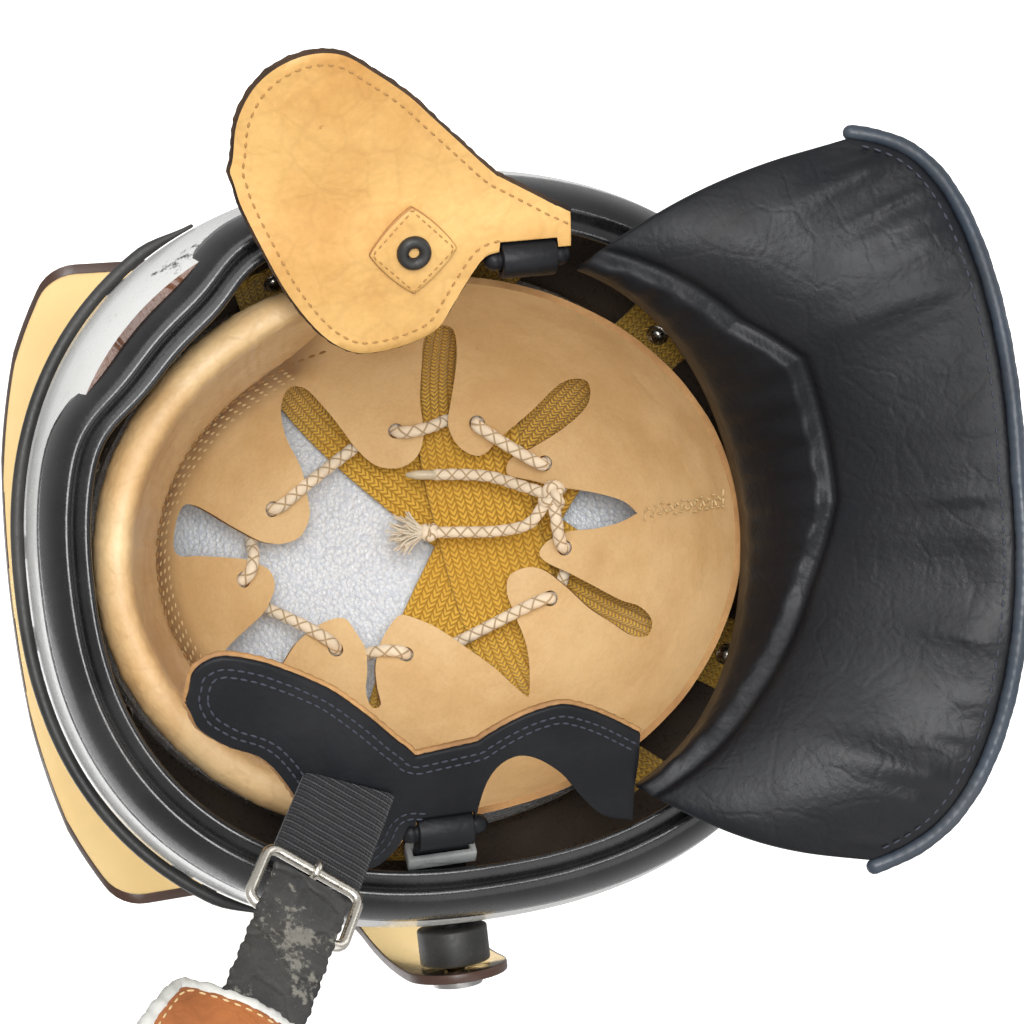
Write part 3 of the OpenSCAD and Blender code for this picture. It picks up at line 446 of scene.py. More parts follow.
def weave_group():
    """Raised yarns of a woven band from a map in metres: wales along it, and rows of slanting stitches. Tone
    is the painted shade between the yarns.
    """
    tree, n, i, o = shader_group("Weave", [("Vector", "Vector", None), ("Pitch Across", "Float", 0.0022),
                                           ("Pitch Along", "Float", 0.0016), ("Slant", "Float", 0.5)],
                                 [("Height", "Float"), ("Tone", "Float")])
    split = n.new("ShaderNodeSeparateXYZ", {0: i["Vector"]})
    wobble = n.mul(n.minus(n.noise(i["Vector"], 180.0, 2.0), 0.5), 0.0012)
    across = n.math("DIVIDE", n.plus(split.outputs[0], wobble), i["Pitch Across"])
    along = n.math("DIVIDE", n.plus(split.outputs[1], wobble), i["Pitch Along"])
    wale = n.math("PINGPONG", across, 0.5)
    row = n.math("PINGPONG", n.plus(along, n.mul(wale, n.mul(i["Slant"], 2.0))), 0.5)
    yarn = n.mul(n.math("POWER", n.mul(row, 2.0), 0.6),
                 n.math("POWER", n.minus(1.0, n.math("POWER", n.mul(wale, 2.0), 4.0)), 0.7))
    fibre = n.noise(i["Vector"], 2600.0, 2.0, 0.7)
    height = n.plus(yarn, n.mul(fibre, 0.25))
    n.put(o["Height"], height)
    # Tone follows the height, so the colour is darker between the yarns: painted shade, with a little random
    # fibre tone.
    n.put(o["Tone"], n.ramp(height, 0.15, 1.05))
    return tree


GROUPS = {}


class Finish(Nodes):
    """One material: its Principled shader and the parts that feed it."""

    def __init__(self, name, rough=0.5, metal=0.0, specular=0.5, **sockets):
        self.material = bpy.data.materials.new(name)
        self.material.use_nodes = True
        super().__init__(self.material.node_tree)
        self.tree.nodes.clear()
        out = self.new("ShaderNodeOutputMaterial")
        self.shader = self.new("ShaderNodeBsdfPrincipled")
        self.tree.links.new(self.shader.outputs[0], out.inputs[0])
        self.set("Roughness", rough)
        self.set("Metallic", metal)
        self.set("Specular IOR Level", specular)
        for k, v in sockets.items():
            self.set(k.replace("_", " "), v)
        self.object = self.new("ShaderNodeTexCoord").outputs["Object"]
        self.uv = self.new("ShaderNodeUVMap", uv_map="UVMap").outputs[0]

    def set(self, socket, value):
        self.put(self.shader.inputs[socket], value)

    def use(self, group, **inputs):
        """One of the groups, on the object's own coordinates unless another Vector is given."""
        node = self.new("ShaderNodeGroup")
        node.node_tree = GROUPS[group]
        for k, v in {"Vector": self.object, **inputs}.items():
            self.put(node.inputs[k.replace("_", " ")], v)
        return node.outputs

    def cloud(self, *settings):
        """Noise on the object's own coordinates: its scale, detail, roughness and distortion."""
        return self.noise(self.object, *settings)

    def done(self, colour, normal, roughness=None):
        self.set("Base Color", colour)
        self.set("Normal", normal)
        self.set("Roughness", roughness)
        return self.material


def band_mask(f):
    """The sweatband's darkened strip on the leather laid flat: past the roll's stitches, at the brow only."""
    split = f.new("ShaderNodeSeparateXYZ", {0: f.uv})
    across = f.ramp(f.math("ABSOLUTE", split.outputs[0]), 0.1, 0.12, 1.0, 0.0)
    patchy = f.ramp(f.cloud(70.0, 3.0), 0.3, 0.7, 0.8, 1.0)
    return f.mul(f.mul(across, patchy), f.ramp(split.outputs[1], 0.058, 0.077, 0.95, 0.0))


def leather(name, colour, dark, rough=0.5, scale=700.0, depth=0.12, crease=0.3, wear=None, wear_amount=0.2,
            specular=0.4, dust=0.0, deep=0.0, band=None):
    """Leather: grain with painted shade in its hollows and creases, a slow change of tone, rubbed places,
    dust, deeper waves and the sweatband's strip.
    """
    f = Finish(name, specular=specular)
    grain = f.use("grain", Scale=scale, Crease=crease)
    base = f.mix(grain["Tone"], linear(*dark), linear(*colour))
    # The grain's low places and creases darken the colour a little: painted shade.
    pores = f.ramp(grain["Height"], -0.5, 0.2, 0.82, 1.0)
    base = f.mix(1.0, base, f.mix(pores, (0.55, 0.5, 0.45, 1), (1, 1, 1, 1)), "MULTIPLY")
    roughness = f.ramp(grain["Tone"], 0.0, 1.0, rough + 0.08, rough - 0.05)
    if wear:
        rub = f.use("scuffs", Scale=55.0, Amount=wear_amount)
        base = f.mix(rub["Mask"], base, linear(*wear))
        roughness = f.plus(roughness, f.mul(rub["Mask"], 0.2))
    if dust:
        pale = f.use("dust", Amount=dust)
        base = f.mix(pale["Mask"], base, linear(0.62, 0.6, 0.56))
    if band:
        base = f.mix(band_mask(f), base, linear(*band))
    normal = f.bump(grain["Height"], depth)
    if deep:
        normal = f.bump(f.cloud(60.0, 3.0, 0.5, 0.6), deep, 1.0, normal)
    return f.done(base, normal, roughness)


def woven(name, colour, dark, across, along, slant, depth, stain=None):
    """Woven band, its yarns mapped in metres on the piece, with painted shade between the yarns."""
    f = Finish(name, rough=0.85, specular=0.2, Sheen_Weight=0.25)
    yarn = f.use("weave", Vector=f.uv, Pitch_Across=across * MM, Pitch_Along=along * MM, Slant=slant)
    # The dark colour is painted shade where the yarns are low.
    base = f.mix(yarn["Tone"], linear(*dark), linear(*colour))
    if stain:
        patch = f.ramp(f.cloud(30.0, 4.0), 0.35, 0.7)
        base = f.mix(f.mul(patch, 0.4), base, linear(*stain))
    return f.done(base, f.bump(yarn["Height"], depth))


def metal(name, colour, rough=0.3, rust=0.15):
    """Plated steel with fine scratches and a little tarnish."""
    f = Finish(name, metal=1.0)
    stretch = f.new("ShaderNodeMapping", {"Vector": f.object, "Scale": (1.0, 0.12, 1.0)})
    scratch = f.noise(stretch.outputs[0], 2200.0, 3.0, 0.7)
    spot = f.use("scuffs", Scale=260.0, Amount=rust)
    base = f.mix(spot["Mask"], linear(*colour), linear(0.36, 0.28, 0.2))
    roughness = f.plus(f.ramp(scratch, 0.3, 0.8, rough - 0.1, rough + 0.14), f.mul(spot["Mask"], 0.35))
    return f.done(base, f.bump(scratch, 0.015), roughness)


def cotton(name, colour, dark):
    """Braided cotton cord: the strands are in the mesh, and the fibres here, with painted shade in the
    grooves between the strands and real soil.
    """
    f = Finish(name, rough=0.9, specular=0.15, Sheen_Weight=0.3)
    fibre = f.cloud(2400.0, 3.0, 0.75)
    soil = f.ramp(f.cloud(90.0, 3.0), 0.35, 0.7)
    split = f.new("ShaderNodeSeparateXYZ", {0: f.uv})
    around = f.mul(split.outputs[0], 1 / MM)
    along = f.math("DIVIDE", split.outputs[1], BRAID_PITCH * MM)
    left = f.math("PINGPONG", f.plus(along, f.mul(around, 2.0)), 0.5)
    right = f.math("PINGPONG", f.minus(along, f.mul(around, 2.0)), 0.5)
    strand = f.math("MINIMUM", left, right)
    # The grooves between the strands take the dark colour as painted shade, and soil darkens the cord too.
    lit_and_clean = f.mul(f.ramp(strand, 0.01, 0.13), f.ramp(soil, 0.0, 1.0, 0.8, 1.0))
    return f.done(f.mix(lit_and_clean, linear(*dark), linear(*colour)), f.bump(fibre, 0.12))


def foam_beads(name):
    """Fused foam beads, each with a bright glint, near white in the middle and darker in the seams between
    them as painted shade, greyer where they are soiled.
    """
    f = Finish(name, rough=0.35, specular=0.6)
    beads = f.new("ShaderNodeTexVoronoi", {"Vector": f.object, "Scale": 620.0}, feature="F1")
    small = f.new("ShaderNodeTexVoronoi", {"Vector": f.object, "Scale": 1500.0}, feature="F1")
    soil = f.ramp(f.cloud(22.0, 5.0, 0.6), 0.4, 0.72)
    height = f.plus(f.mul(beads.outputs["Distance"], -1.0), f.mul(small.outputs["Distance"], -0.35))
    # Bluish grey in the seams between the beads and near white in their middles: painted shade.
    between = f.ramp(beads.outputs["Distance"], 0.25, 0.75)
    base = f.mix(between, linear(0.93, 0.95, 0.97), linear(0.85, 0.88, 0.92))
    base = f.mix(f.mul(soil, 0.25), base, linear(0.74, 0.74, 0.74))
    return f.done(base, f.bump(height, 0.6), f.ramp(small.outputs["Color"], 0.2, 0.9, 0.12, 0.55))


def shell_paint(name, colour):
    """White paint outside, chipped to dark fibre along the rim and a little dirty."""
    f = Finish(name, rough=0.28, specular=0.5, Coat_Weight=0.3, Coat_Roughness=0.15)
    split = f.new("ShaderNodeSeparateXYZ", {0: f.uv})
    up = split.outputs[1]
    near_rim = f.ramp(up, 0.009, 0.02, 1.0, 0.0)
    worn = f.ramp(f.cloud(14.0, 2.0), 0.5, 0.62)
    chip = f.use("scuffs", Scale=330.0, Amount=f.mul(f.mul(near_rim, worn), 0.7))
    dirt = f.use("dust", Amount=0.2)
    streak = f.cloud(120.0, 4.0, 0.6)
    base = f.mix(dirt["Mask"], linear(*colour), linear(0.66, 0.65, 0.62))
    base = f.mix(f.mul(f.ramp(streak, 0.58, 0.72), 0.12), base, linear(0.6, 0.59, 0.57))
    base = f.mix(chip["Mask"], base, linear(0.14, 0.13, 0.12))
    roughness = f.plus(f.ramp(streak, 0.3, 0.8, 0.22, 0.36), f.mul(chip["Mask"], 0.3))
    height = f.minus(f.mul(f.cloud(12.0, 2.0), 0.5), chip["Mask"])
    return f.done(base, f.bump(height, 0.2), roughness)


def fibre_shell(name, colour):
    """Dark resin and fibre on the shell's inner face."""
    f = Finish(name, rough=0.32, specular=0.5)
    cloth = f.cloud(520.0, 3.0, 0.7)
    slow = f.ramp(f.cloud(34.0, 4.0), 0.3, 0.75)
    rub = f.use("scuffs", Scale=70.0, Amount=0.25)
    base = f.mix(slow, linear(*colour), linear(0.3, 0.26, 0.22))
    base = f.mix(f.mul(rub["Mask"], 0.5), base, linear(0.5, 0.36, 0.24))
    return f.done(base, f.bump(cloth, 0.1), f.ramp(cloth, 0.3, 0.8, 0.24, 0.5))


def rubber(name, colour, rough=0.25, dust=0.12):
    """Black rubber, polished by handling, with fine dust."""
    f = Finish(name, specular=0.5)
    pale = f.use("dust", Amount=dust)
    fine = f.cloud(900.0, 3.0)
    base = f.mix(pale["Mask"], linear(*colour), linear(0.5, 0.49, 0.47))
    roughness = f.plus(f.ramp(fine, 0.3, 0.8, rough - 0.05, rough + 0.1), f.mul(pale["Mask"], 0.8))
    return f.done(base, f.bump(fine, 0.02), roughness)


def thread(name, colour):
    f = Finish(name, rough=0.8, specular=0.2)
    twist = f.cloud(1800.0, 2.0)
    colour = linear(*colour)
    shadow = (colour[0] * 0.6, colour[1] * 0.6, colour[2] * 0.6, 1)
    return f.done(f.mix(twist, shadow, colour), f.bump(twist, 0.05))


def tinted_plate(name, colour):
    """Clear tan plastic with faint haze and scratches."""
    f = Finish(name, rough=0.06, specular=0.4, Transmission_Weight=1.0, IOR=1.3)
    haze = f.ramp(f.cloud(18.0, 3.0), 0.3, 0.75)
    colour = linear(*colour)
    base = f.mix(haze, colour, (colour[0] * 0.93, colour[1] * 0.9, colour[2] * 0.82, 1))
    hair = f.new("ShaderNodeMapping", {"Vector": f.object, "Scale": (1.0, 9.0, 2.0)})
    scratch = f.noise(hair.outputs[0], 420.0, 4.0, 0.7)
    return f.done(base, f.bump(scratch, 0.01), f.ramp(scratch, 0.4, 0.9, 0.05, 0.2))


# Settings that a user would change

def colour_prop(name, text, r, g, b):
    return FloatVectorProperty(name=name, description=text, subtype="COLOR", size=3, min=0, max=1,
                               default=(r, g, b))


def length_prop(name, text, mm):
    return FloatProperty(name=name, description=text, unit="LENGTH", subtype="DISTANCE", min=0,
                         default=mm * MM)


class HelmetSizes(bpy.types.PropertyGroup):
    """Sizes of the helmet's soft and sewn detail."""
    lace_diameter: length_prop("Lacing Diameter", "Diameter of the braided lacing", 4.2)
    stitch_length: length_prop("Stitch Length", "Length of one leather stitch", 2.2)
    stitch_pitch: length_prop("Stitch Pitch", "Distance from stitch to stitch", 3.0)
    thread_radius: length_prop("Thread Radius", "Radius of the sewing thread", 0.38)
    slit_length: length_prop("Perforation Length", "Length of each slit in the sweatband", 2.4)
    rib_pitch: length_prop("Strap Rib Pitch", "Distance between the ribs of the chin strap", 2.2)
    pleat_depth: length_prop("Pleat Depth", "Depth of the neck guard's gathers at its hem", 1.9)
    piping_radius: length_prop("Piping Radius", "Radius of the rolled edge of the ear flaps", 1.0)
    tassel_strands: IntProperty(name="Tassel Strands", description="Strands in the frayed end of the lacing",
                                default=64, min=8, max=200)


class HelmetColours(bpy.types.PropertyGroup):
    """Display colours of the helmet's finishes."""
    paint: colour_prop("Shell Paint", "Colour of the shell outside", 0.88, 0.88, 0.87)
    liner: colour_prop("Liner Leather", "Colour of the headband and tongues", 0.88, 0.76, 0.57)
    flap: colour_prop("Flap Lining", "Colour of the ear flaps' inner face", 0.86, 0.69, 0.42)
    black: colour_prop("Black Leather", "Colour of the neck guard and the flaps outside", 0.075, 0.08, 0.1)
    webbing: colour_prop("Crown Webbing", "Colour of the crown webbing", 0.94, 0.76, 0.32)
    cord: colour_prop("Lacing", "Colour of the lacing", 0.93, 0.88, 0.79)
    visor: colour_prop("Visor", "Tint of the visor plate", 0.9, 0.8, 0.6)


MATERIALS = {}


def colours():
    return bpy.context.scene.helmet_colours


def sizes():
    return bpy.context.scene.helmet_sizes


def make_materials():
    """Every finish of the helmet, by plain name."""
    GROUPS.update(grain=leather_grain_group(), scuffs=scuff_group(), dust=dust_group(), weave=weave_group())
    c = colours()
    MATERIALS.update(
        paint=shell_paint("Shell paint", c.paint),
        inside=fibre_shell("Shell inside", (0.17, 0.15, 0.14)),
        torn=leather("Torn shell edge", (0.5, 0.3, 0.17), (0.2, 0.12, 0.08), 0.3, 300.0, 0.5, 1.0),
        skirt=fibre_shell("Inner skirt", (0.24, 0.21, 0.19)),
        trim=rubber("Rim rubber", (0.05, 0.05, 0.06), 0.2, 0.1),
        rubber=rubber("Fitting rubber", (0.07, 0.07, 0.07), 0.45, 0.25),
        foam=foam_beads("Crown foam"),
        # The webbing's dark colour is the painted shade between its yarns
        webbing=woven("Crown webbing", c.webbing, (0.66, 0.47, 0.13), 3.2, 2.1, 0.9, 0.5,
                      stain=(0.8, 0.6, 0.22)),
        liner=leather("Liner leather", c.liner, (0.82, 0.68, 0.48), 0.46, 900.0, 0.05, 0.12,
                      (0.7, 0.52, 0.31), 0.12, deep=0.5, band=(0.44, 0.3, 0.15)),
        flesh=leather("Cut leather", (0.7, 0.53, 0.33), (0.6, 0.43, 0.26), 0.8, 1200.0, 0.1, 0.3),
        brow=leather("Brow roll leather", c.liner, (0.78, 0.62, 0.42), 0.42, 620.0, 0.1, 0.35,
                     (0.58, 0.4, 0.22), 0.22, deep=0.9),
        flap=leather("Flap lining leather", c.flap, (0.76, 0.56, 0.3), 0.5, 560.0, 0.12, 0.3,
                     (0.62, 0.42, 0.2), 0.14, deep=1.0),
        black=leather("Black leather", c.black, (0.045, 0.05, 0.065), 0.42, 520.0, 0.12, 0.3,
                      dust=0.02, deep=0.3, specular=0.22),
        cover=leather("Flap cover leather", (0.085, 0.09, 0.11), (0.055, 0.06, 0.075), 0.5, 620.0, 0.08, 0.25,
                      dust=0.03, deep=0.5, specular=0.2),
        hem=leather("Hem leather", (0.2, 0.24, 0.29), (0.14, 0.17, 0.21), 0.4, 620.0, 0.06, 0.25,
                    (0.4, 0.42, 0.44), 0.12, dust=0.1),
        strap=leather("Strap leather", (0.12, 0.12, 0.13), (0.06, 0.06, 0.07), 0.5, 420.0, 0.25, 0.8,
                      (0.42, 0.41, 0.38), 0.45, dust=0.2),
        raw=leather("Raw edge", (0.3, 0.22, 0.15), (0.12, 0.09, 0.08), 0.9, 900.0, 0.3, 0.6),
        piping=leather("Piping", (0.76, 0.58, 0.37), (0.5, 0.35, 0.2), 0.55, 700.0, 0.15, 0.5,
                       (0.25, 0.18, 0.12), 0.3),
        grey=leather("Grey leather", (0.66, 0.67, 0.66), (0.42, 0.43, 0.43), 0.6, 480.0, 0.2, 0.6,
                     (0.86, 0.86, 0.84), 0.35),
        cup_brown=leather("Cup lining", (0.66, 0.4, 0.22), (0.47, 0.27, 0.15), 0.5, 620.0, 0.15, 0.4,
                          (0.36, 0.22, 0.14), 0.25, deep=0.8),
        cup_edge=leather("Cup binding", (0.8, 0.8, 0.78), (0.62, 0.62, 0.6), 0.55, 620.0, 0.12, 0.4,
                         (0.5, 0.49, 0.47), 0.2),
        # The strap webbing's dark colour is the painted shade between its yarns
        band=woven("Strap webbing", (0.13, 0.13, 0.14), (0.03, 0.03, 0.035), 1.1, 1.1, 0.0, 0.2),
        # The cord's dark colour is the painted shade in the braid's grooves, and its soil
        cord=cotton("Braided cotton", c.cord, (0.66, 0.57, 0.43)),
        tip=leather("Waxed tip", (0.84, 0.8, 0.7), (0.66, 0.6, 0.5), 0.3, 800.0, 0.05, 0.2),
        steel=metal("Plated steel", (0.78, 0.76, 0.72), 0.3, 0.2),
        screw=metal("Screw steel", (0.62, 0.61, 0.6), 0.38, 0.3),
        pale_thread=thread("Pale thread", (0.86, 0.75, 0.56)),
        tan_thread=thread("Tan thread", (0.74, 0.57, 0.35)),
        frayed=thread("Frayed cotton", (0.95, 0.91, 0.83)),
        brow_thread=thread("Brow thread", (0.62, 0.47, 0.3)),
        black_thread=thread("Black thread", (0.27, 0.28, 0.32)),
        visor=tinted_plate("Visor plate", c.visor),
        visor_edge=rubber("Visor edge", (0.25, 0.15, 0.1), 0.35, 0.1),
    )


# Geometry node trees for what repeats

def geometry_tree(name, inputs):
    tree = bpy.data.node_groups.new(name, "GeometryNodeTree")
    tree.interface.new_socket(name="Geometry", in_out="INPUT", socket_type="NodeSocketGeometry")
    for label, kind in inputs:
        tree.interface.new_socket(name=label, in_out="INPUT", socket_type="NodeSocket" + kind)
    tree.interface.new_socket(name="Geometry", in_out="OUTPUT", socket_type="NodeSocketGeometry")
    n = Nodes(tree)
    return tree, n, n.new("NodeGroupInput").outputs, n.new("NodeGroupOutput").inputs


def stored(n, name):
    """A vector stored on the guide's points."""
    return n.new("GeometryNodeInputNamedAttribute", {"Name": name}, data_type="FLOAT_VECTOR").outputs[0]


def placed(n, points, shape, size, first, second):
    """Instances of a shape on points, its X along the first vector and its Z near the second."""
    turn = n.new("FunctionNodeAlignRotationToVector", {"Vector": first}, axis="X")
    turn = n.new("FunctionNodeAlignRotationToVector", {"Rotation": turn.outputs[0], "Vector": second},
                 axis="Z", pivot_axis="X")
    on = n.new("GeometryNodeInstanceOnPoints",
               {"Points": points, "Instance": shape, "Rotation": turn.outputs[0], "Scale": size})
    return on.outputs[0]


def finish_tree(n, geometry, material, out):
    real = n.new("GeometryNodeRealizeInstances", {0: geometry})
    rounded = n.new("GeometryNodeSetShadeSmooth", {0: real.outputs[0]})
    painted = n.new("GeometryNodeSetMaterial", {0: rounded.outputs[0], "Material": material})
    n.put(out[0], painted.outputs[0])


def stitch_tree():
    """Stitches of one length, an even pitch apart along the input's edges, flat on the surface."""
    tree, n, i, o = geometry_tree("Stitch row", [("Stitch Length", "Float"), ("Thread Radius", "Float"),
                                                 ("Pitch", "Float"), ("Material", "Material")])
    curve = n.new("GeometryNodeMeshToCurve", {0: i["Geometry"]})
    even = n.new("GeometryNodeResampleCurve", {0: curve.outputs[0]})
    if hasattr(even, "mode"):
        even.mode = "LENGTH"
    n.put(even.inputs["Length"], i["Pitch"])
    shape = n.new("GeometryNodeMeshUVSphere", {"Segments": 8, "Rings": 5, "Radius": 1.0})
    size = n.new("ShaderNodeCombineXYZ", {0: n.mul(i["Stitch Length"], 0.5), 1: i["Thread Radius"],
                                          2: i["Thread Radius"]})
    along = n.new("GeometryNodeInputTangent").outputs[0]
    placed_on = placed(n, even.outputs[0], shape.outputs[0], size.outputs[0], along, stored(n, "up"))
    finish_tree(n, placed_on, i["Material"], o)
    return tree


def mark_tree():
    """Small rounded shapes on the input's points: slits, studs and rivet heads."""
    tree, n, i, o = geometry_tree("Marks on a surface", [("Length", "Float"), ("Width", "Float"),
                                                         ("Height", "Float"), ("Flange", "Float"),
                                                         ("Material", "Material")])
    shape = n.new("GeometryNodeMeshUVSphere", {"Segments": 20, "Rings": 10, "Radius": 1.0})
    size = n.new("ShaderNodeCombineXYZ", {0: i["Length"], 1: i["Width"], 2: i["Height"]})
    wide = n.new("ShaderNodeCombineXYZ", {0: n.mul(i["Length"], i["Flange"]),
                                          1: n.mul(i["Width"], i["Flange"]),
                                          2: n.mul(i["Height"], 0.4)})
    head = n.new("GeometryNodeTransform", {0: shape.outputs[0], "Scale": size.outputs[0]})
    foot = n.new("GeometryNodeTransform", {0: shape.outputs[0], "Scale": wide.outputs[0]})
    both = n.new("GeometryNodeJoinGeometry")
    n.put(both.inputs[0], head.outputs[0])
    n.put(both.inputs[0], foot.outputs[0])
    placed_on = placed(n, i["Geometry"], both.outputs[0], None, stored(n, "along"), stored(n, "up"))
    finish_tree(n, placed_on, i["Material"], o)
    return tree


TREES = {}


def guide(name, points, edges, **vectors):
    """A mesh of points and edges in metres with vector attributes, for a tree to work on."""
    data = bpy.data.meshes.new(name)
    data.from_pydata((np.asarray(points) * MM).tolist(), edges, [])
    for key, values in vectors.items():
        layer = data.attributes.new(key, "FLOAT_VECTOR", "POINT")
        layer.data.foreach_set("vector", np.asarray(values, float).ravel())
    return add_object(name, data)


def grown(obj, tree, body, nodes=(), slot=None, **values):
    """Runs a tree on a guide, keeps the result as a plain mesh and drops the modifier."""
    modifier = obj.modifiers.new(tree.name, "NODES")
    modifier.node_group = tree
    for item in tree.interface.items_tree:
        key = item.name.lower().replace(" ", "_")
        if item.in_out == "INPUT" and key in values:
            modifier[item.identifier] = values[key]
    mesh = plain_mesh(obj)
    obj.modifiers.clear()
    obj.data = mesh
    return settle(obj, body, nodes, slot)


def stitches(name, rows, ups, material, body, length=None, pitch=None, radius=None):
    """Rows of stitches along paths in millimetres that lie on a surface with the given normals."""
    points, edges, up = [], [], []
    for path, normal in zip(rows, ups):
        path = np.asarray(path, float)
        edges += [(len(points) + k, len(points) + k + 1) for k in range(len(path) - 1)]
        points += list(path)
        up += list(np.broadcast_to(normal, path.shape))
    s = sizes()
    obj = guide(name, points, edges, up=up)
    return grown(obj, TREES["stitch"], body, stitch_length=length * MM if length else s.stitch_length,
                 pitch=pitch * MM if pitch else s.stitch_pitch,
                 thread_radius=radius * MM if radius else s.thread_radius,
                 material=MATERIALS[material])


def marks(name, points, ups, alongs, material, body, size, flange=0.0, **names):
    """Slits, studs or rivet heads at points in millimetres."""
    obj = guide(name, points, [], up=ups, along=alongs)
    return grown(obj, TREES["mark"], body, length=size[0] * MM, width=size[1] * MM, height=size[2] * MM,
                 flange=float(flange), material=MATERIALS[material], **names)


# Shapes of the helmet, in millimetres and degrees

SHELL_RX, SHELL_RY, SHELL_Y, SHELL_Z, SHELL_RZ, SHELL_T = 118, 128, 10, 38, 106, 3.5
BAND_RX, BAND_RY, BAND_Y, DOME_H, LEATHER_T = 79, 93, 4, 108, 2
DOME_EYE = np.array([0, BAND_Y, 12.0])


def shell_pt(a, z, inset):
    c = np.sqrt(np.maximum(0, 1 - ((z - SHELL_Z) / (SHELL_RZ - inset)) ** 2))
    return vec((SHELL_RX - inset) * c * signed_pow(sin(a), 2 / 2.3),
               SHELL_Y - (SHELL_RY - inset) * c * signed_pow(cos(a), 2 / 2.3), z)


def rim_z(a):
    return lerp(-6, -18, (1 - cos(a)) / 2) - 3 * sin(a) ** 2


def dome_pt(a, e, out=0.0):
    p = vec(BAND_RX * cos(e) ** 0.8 * sin(a), BAND_Y - BAND_RY * cos(e) ** 0.8 * cos(a), DOME_H * sin(e))
    return p + unit(p - DOME_EYE) * np.asarray(out)[..., None]


def outward(p):
    return unit(np.asarray(p, float) - DOME_EYE)


def dome_place(p):
    """Azimuth and height angle of points near the dome: by their height low down, by their plan high up."""
    p = np.asarray(p, float)
    x, y = p[..., 0] / BAND_RX, -(p[..., 1] - BAND_Y) / BAND_RY
    by_height = np.degrees(np.arcsin(np.clip(p[..., 2] / DOME_H, -1, 1)))
    by_plan = np.degrees(np.arccos(np.clip(np.hypot(x, y), 0, 1) ** 1.25))
    return np.degrees(np.arctan2(x, y)), lerp(by_height, by_plan, smooth((by_height - 36) / 16))


FOAM_INSET = 4.5                                # from the shell's outside to the foam's
FOAM_RX, FOAM_RY, FOAM_Y = 92, 106, 5           # the foam's inside
FOAM_Z, FOAM_TOP = 43, 126.2
FOAM_E = np.degrees(np.arcsin(-22 / 102.2))     # height angle of the foam's lower edge


def foam_in_pt(a, e):
    return vec(FOAM_RX * cos(e) * sin(a), FOAM_Y - FOAM_RY * cos(e) * cos(a),
               FOAM_Z + (FOAM_TOP - FOAM_Z) * sin(e))


def skirt_pt(a, v, drop):
    """A point under the foam's lower face: a share of the way up it, and a drop below it."""
    def face(b, w):
        low = shell_pt(b, SHELL_Z + (SHELL_RZ - FOAM_INSET) * sin(FOAM_E), FOAM_INSET)
        return lerp(low, foam_in_pt(b, 0), np.asarray(w)[..., None])

    down = unit(np.cross(face(a, 1.0) - face(a, 0.0), face(a + 1, 0.5) - face(a - 1, 0.5)))
    return face(a, v) + down * np.asarray(drop)[..., None], down


# Lace hole of each tongue from the brow round by the wearer's left: azimuth and height angle
TONGUES = [(-5, 62), (31, 67), (99, 63), (126, 55), (153, 52), (186, 54), (206, 55), (266, 68), (300, 68)]
HOLES = [dome_pt(a, e) for a, e in TONGUES]
LACE_R = 2.1
SEAM = 177          # azimuth of the leather's seam at the nape
# The leather's upper edge from the seam round to the seam: two marks in each notch, then the tongue after it
CUT = [(-183, 34), (-181, 39), (-180, 46), (-180, 53), (-177, 58), (-172, 60), (-168, 58), (-165, 53),
       (-161, 45), (-158, 37), (-157, 31), (-154, 26), (-150, 25), (-149, 30), (-151, 37), (-154, 45),
       (-160, 53), (-165, 59), (-165, 63), (-160, 66), (-151, 65), (-142, 60), (-134, 53), (-126, 46),
       (-122, 42), (-121, 42), (-121, 48), (-121, 56), (-118, 67), (-112, 74), (-98, 78), (-85, 74),
       (-80, 67), (-80, 60), (-81, 54), (-78, 53), (-76, 58), (-76, 65), (-73, 71), (-58, 76), (-47, 73),
       (-43, 66), (-44, 58), (-44, 49), (-41, 40), (-35, 35), (-30, 37), (-27, 47), (-24, 60), (-21, 65),
       (-13, 69), (-3, 69), (3, 65), (5, 60), (6, 50), (6, 43), (9, 40), (19, 40), (22, 43), (21, 51),
       (17, 61), (13, 68), (14, 73), (22, 76), (40, 75), (54, 67), (58, 55), (62, 45), (66, 41), (70, 44),
       (74, 53), (81, 66), (90, 72), (103, 73), (111, 70), (111, 64), (105, 54), (102, 43), (100, 33),
       (101, 27), (105, 27), (109, 36), (114, 51), (118, 59), (127, 63), (136, 62), (136, 55), (136, 44),
       (135, 32), (137, 26), (140, 26), (144, 32), (146, 42), (146, 52), (145, 58), (150, 61), (157, 57),
       (163, 52), (169, 43), (173, 37), (177, 34)]


def leather_edge():
    return smooth_path(np.array(CUT, float), 5)


def leather_loop():
    return np.concatenate([leather_edge(), [(SEAM, 0), (SEAM - 360, 0)]])


def inside(spots, loop):
    """Which spots lie inside a closed loop, both as azimuth and height angle."""
    x, y = spots[:, 0], spots[:, 1]
    found = np.zeros(len(spots), bool)
    for (x0, y0), (x1, y1) in zip(loop, np.roll(loop, -1, 0)):
        if y0 != y1:
            found ^= ((y0 > y) != (y1 > y)) & (x < (x1 - x0) * (y - y0) / (y1 - y0) + x0)
    return found


def reach(k, target):
    """How far the leather reaches from a lace hole on the way to a target."""
    way = np.linspace(0, 1, 120)[:, None]
    a, e = dome_place(lerp(HOLES[k], target, way))
    near = TONGUES[k][0] - (360 if TONGUES[k][0] > SEAM else 0)
    spots = np.column_stack([near + (a - near + 180) % 360 - 180, e])
    out = np.flatnonzero(~inside(spots, leather_loop()))
    share = way[out[0], 0] if len(out) else 0.5
    return share * np.linalg.norm(target - HOLES[k])


# Pieces

class HelmetOperator:
    """What the helmet's operators share."""
    bl_options = {"REGISTER", "UNDO"}

    def execute(self, context):
        self.build()
        return {"FINISHED"}


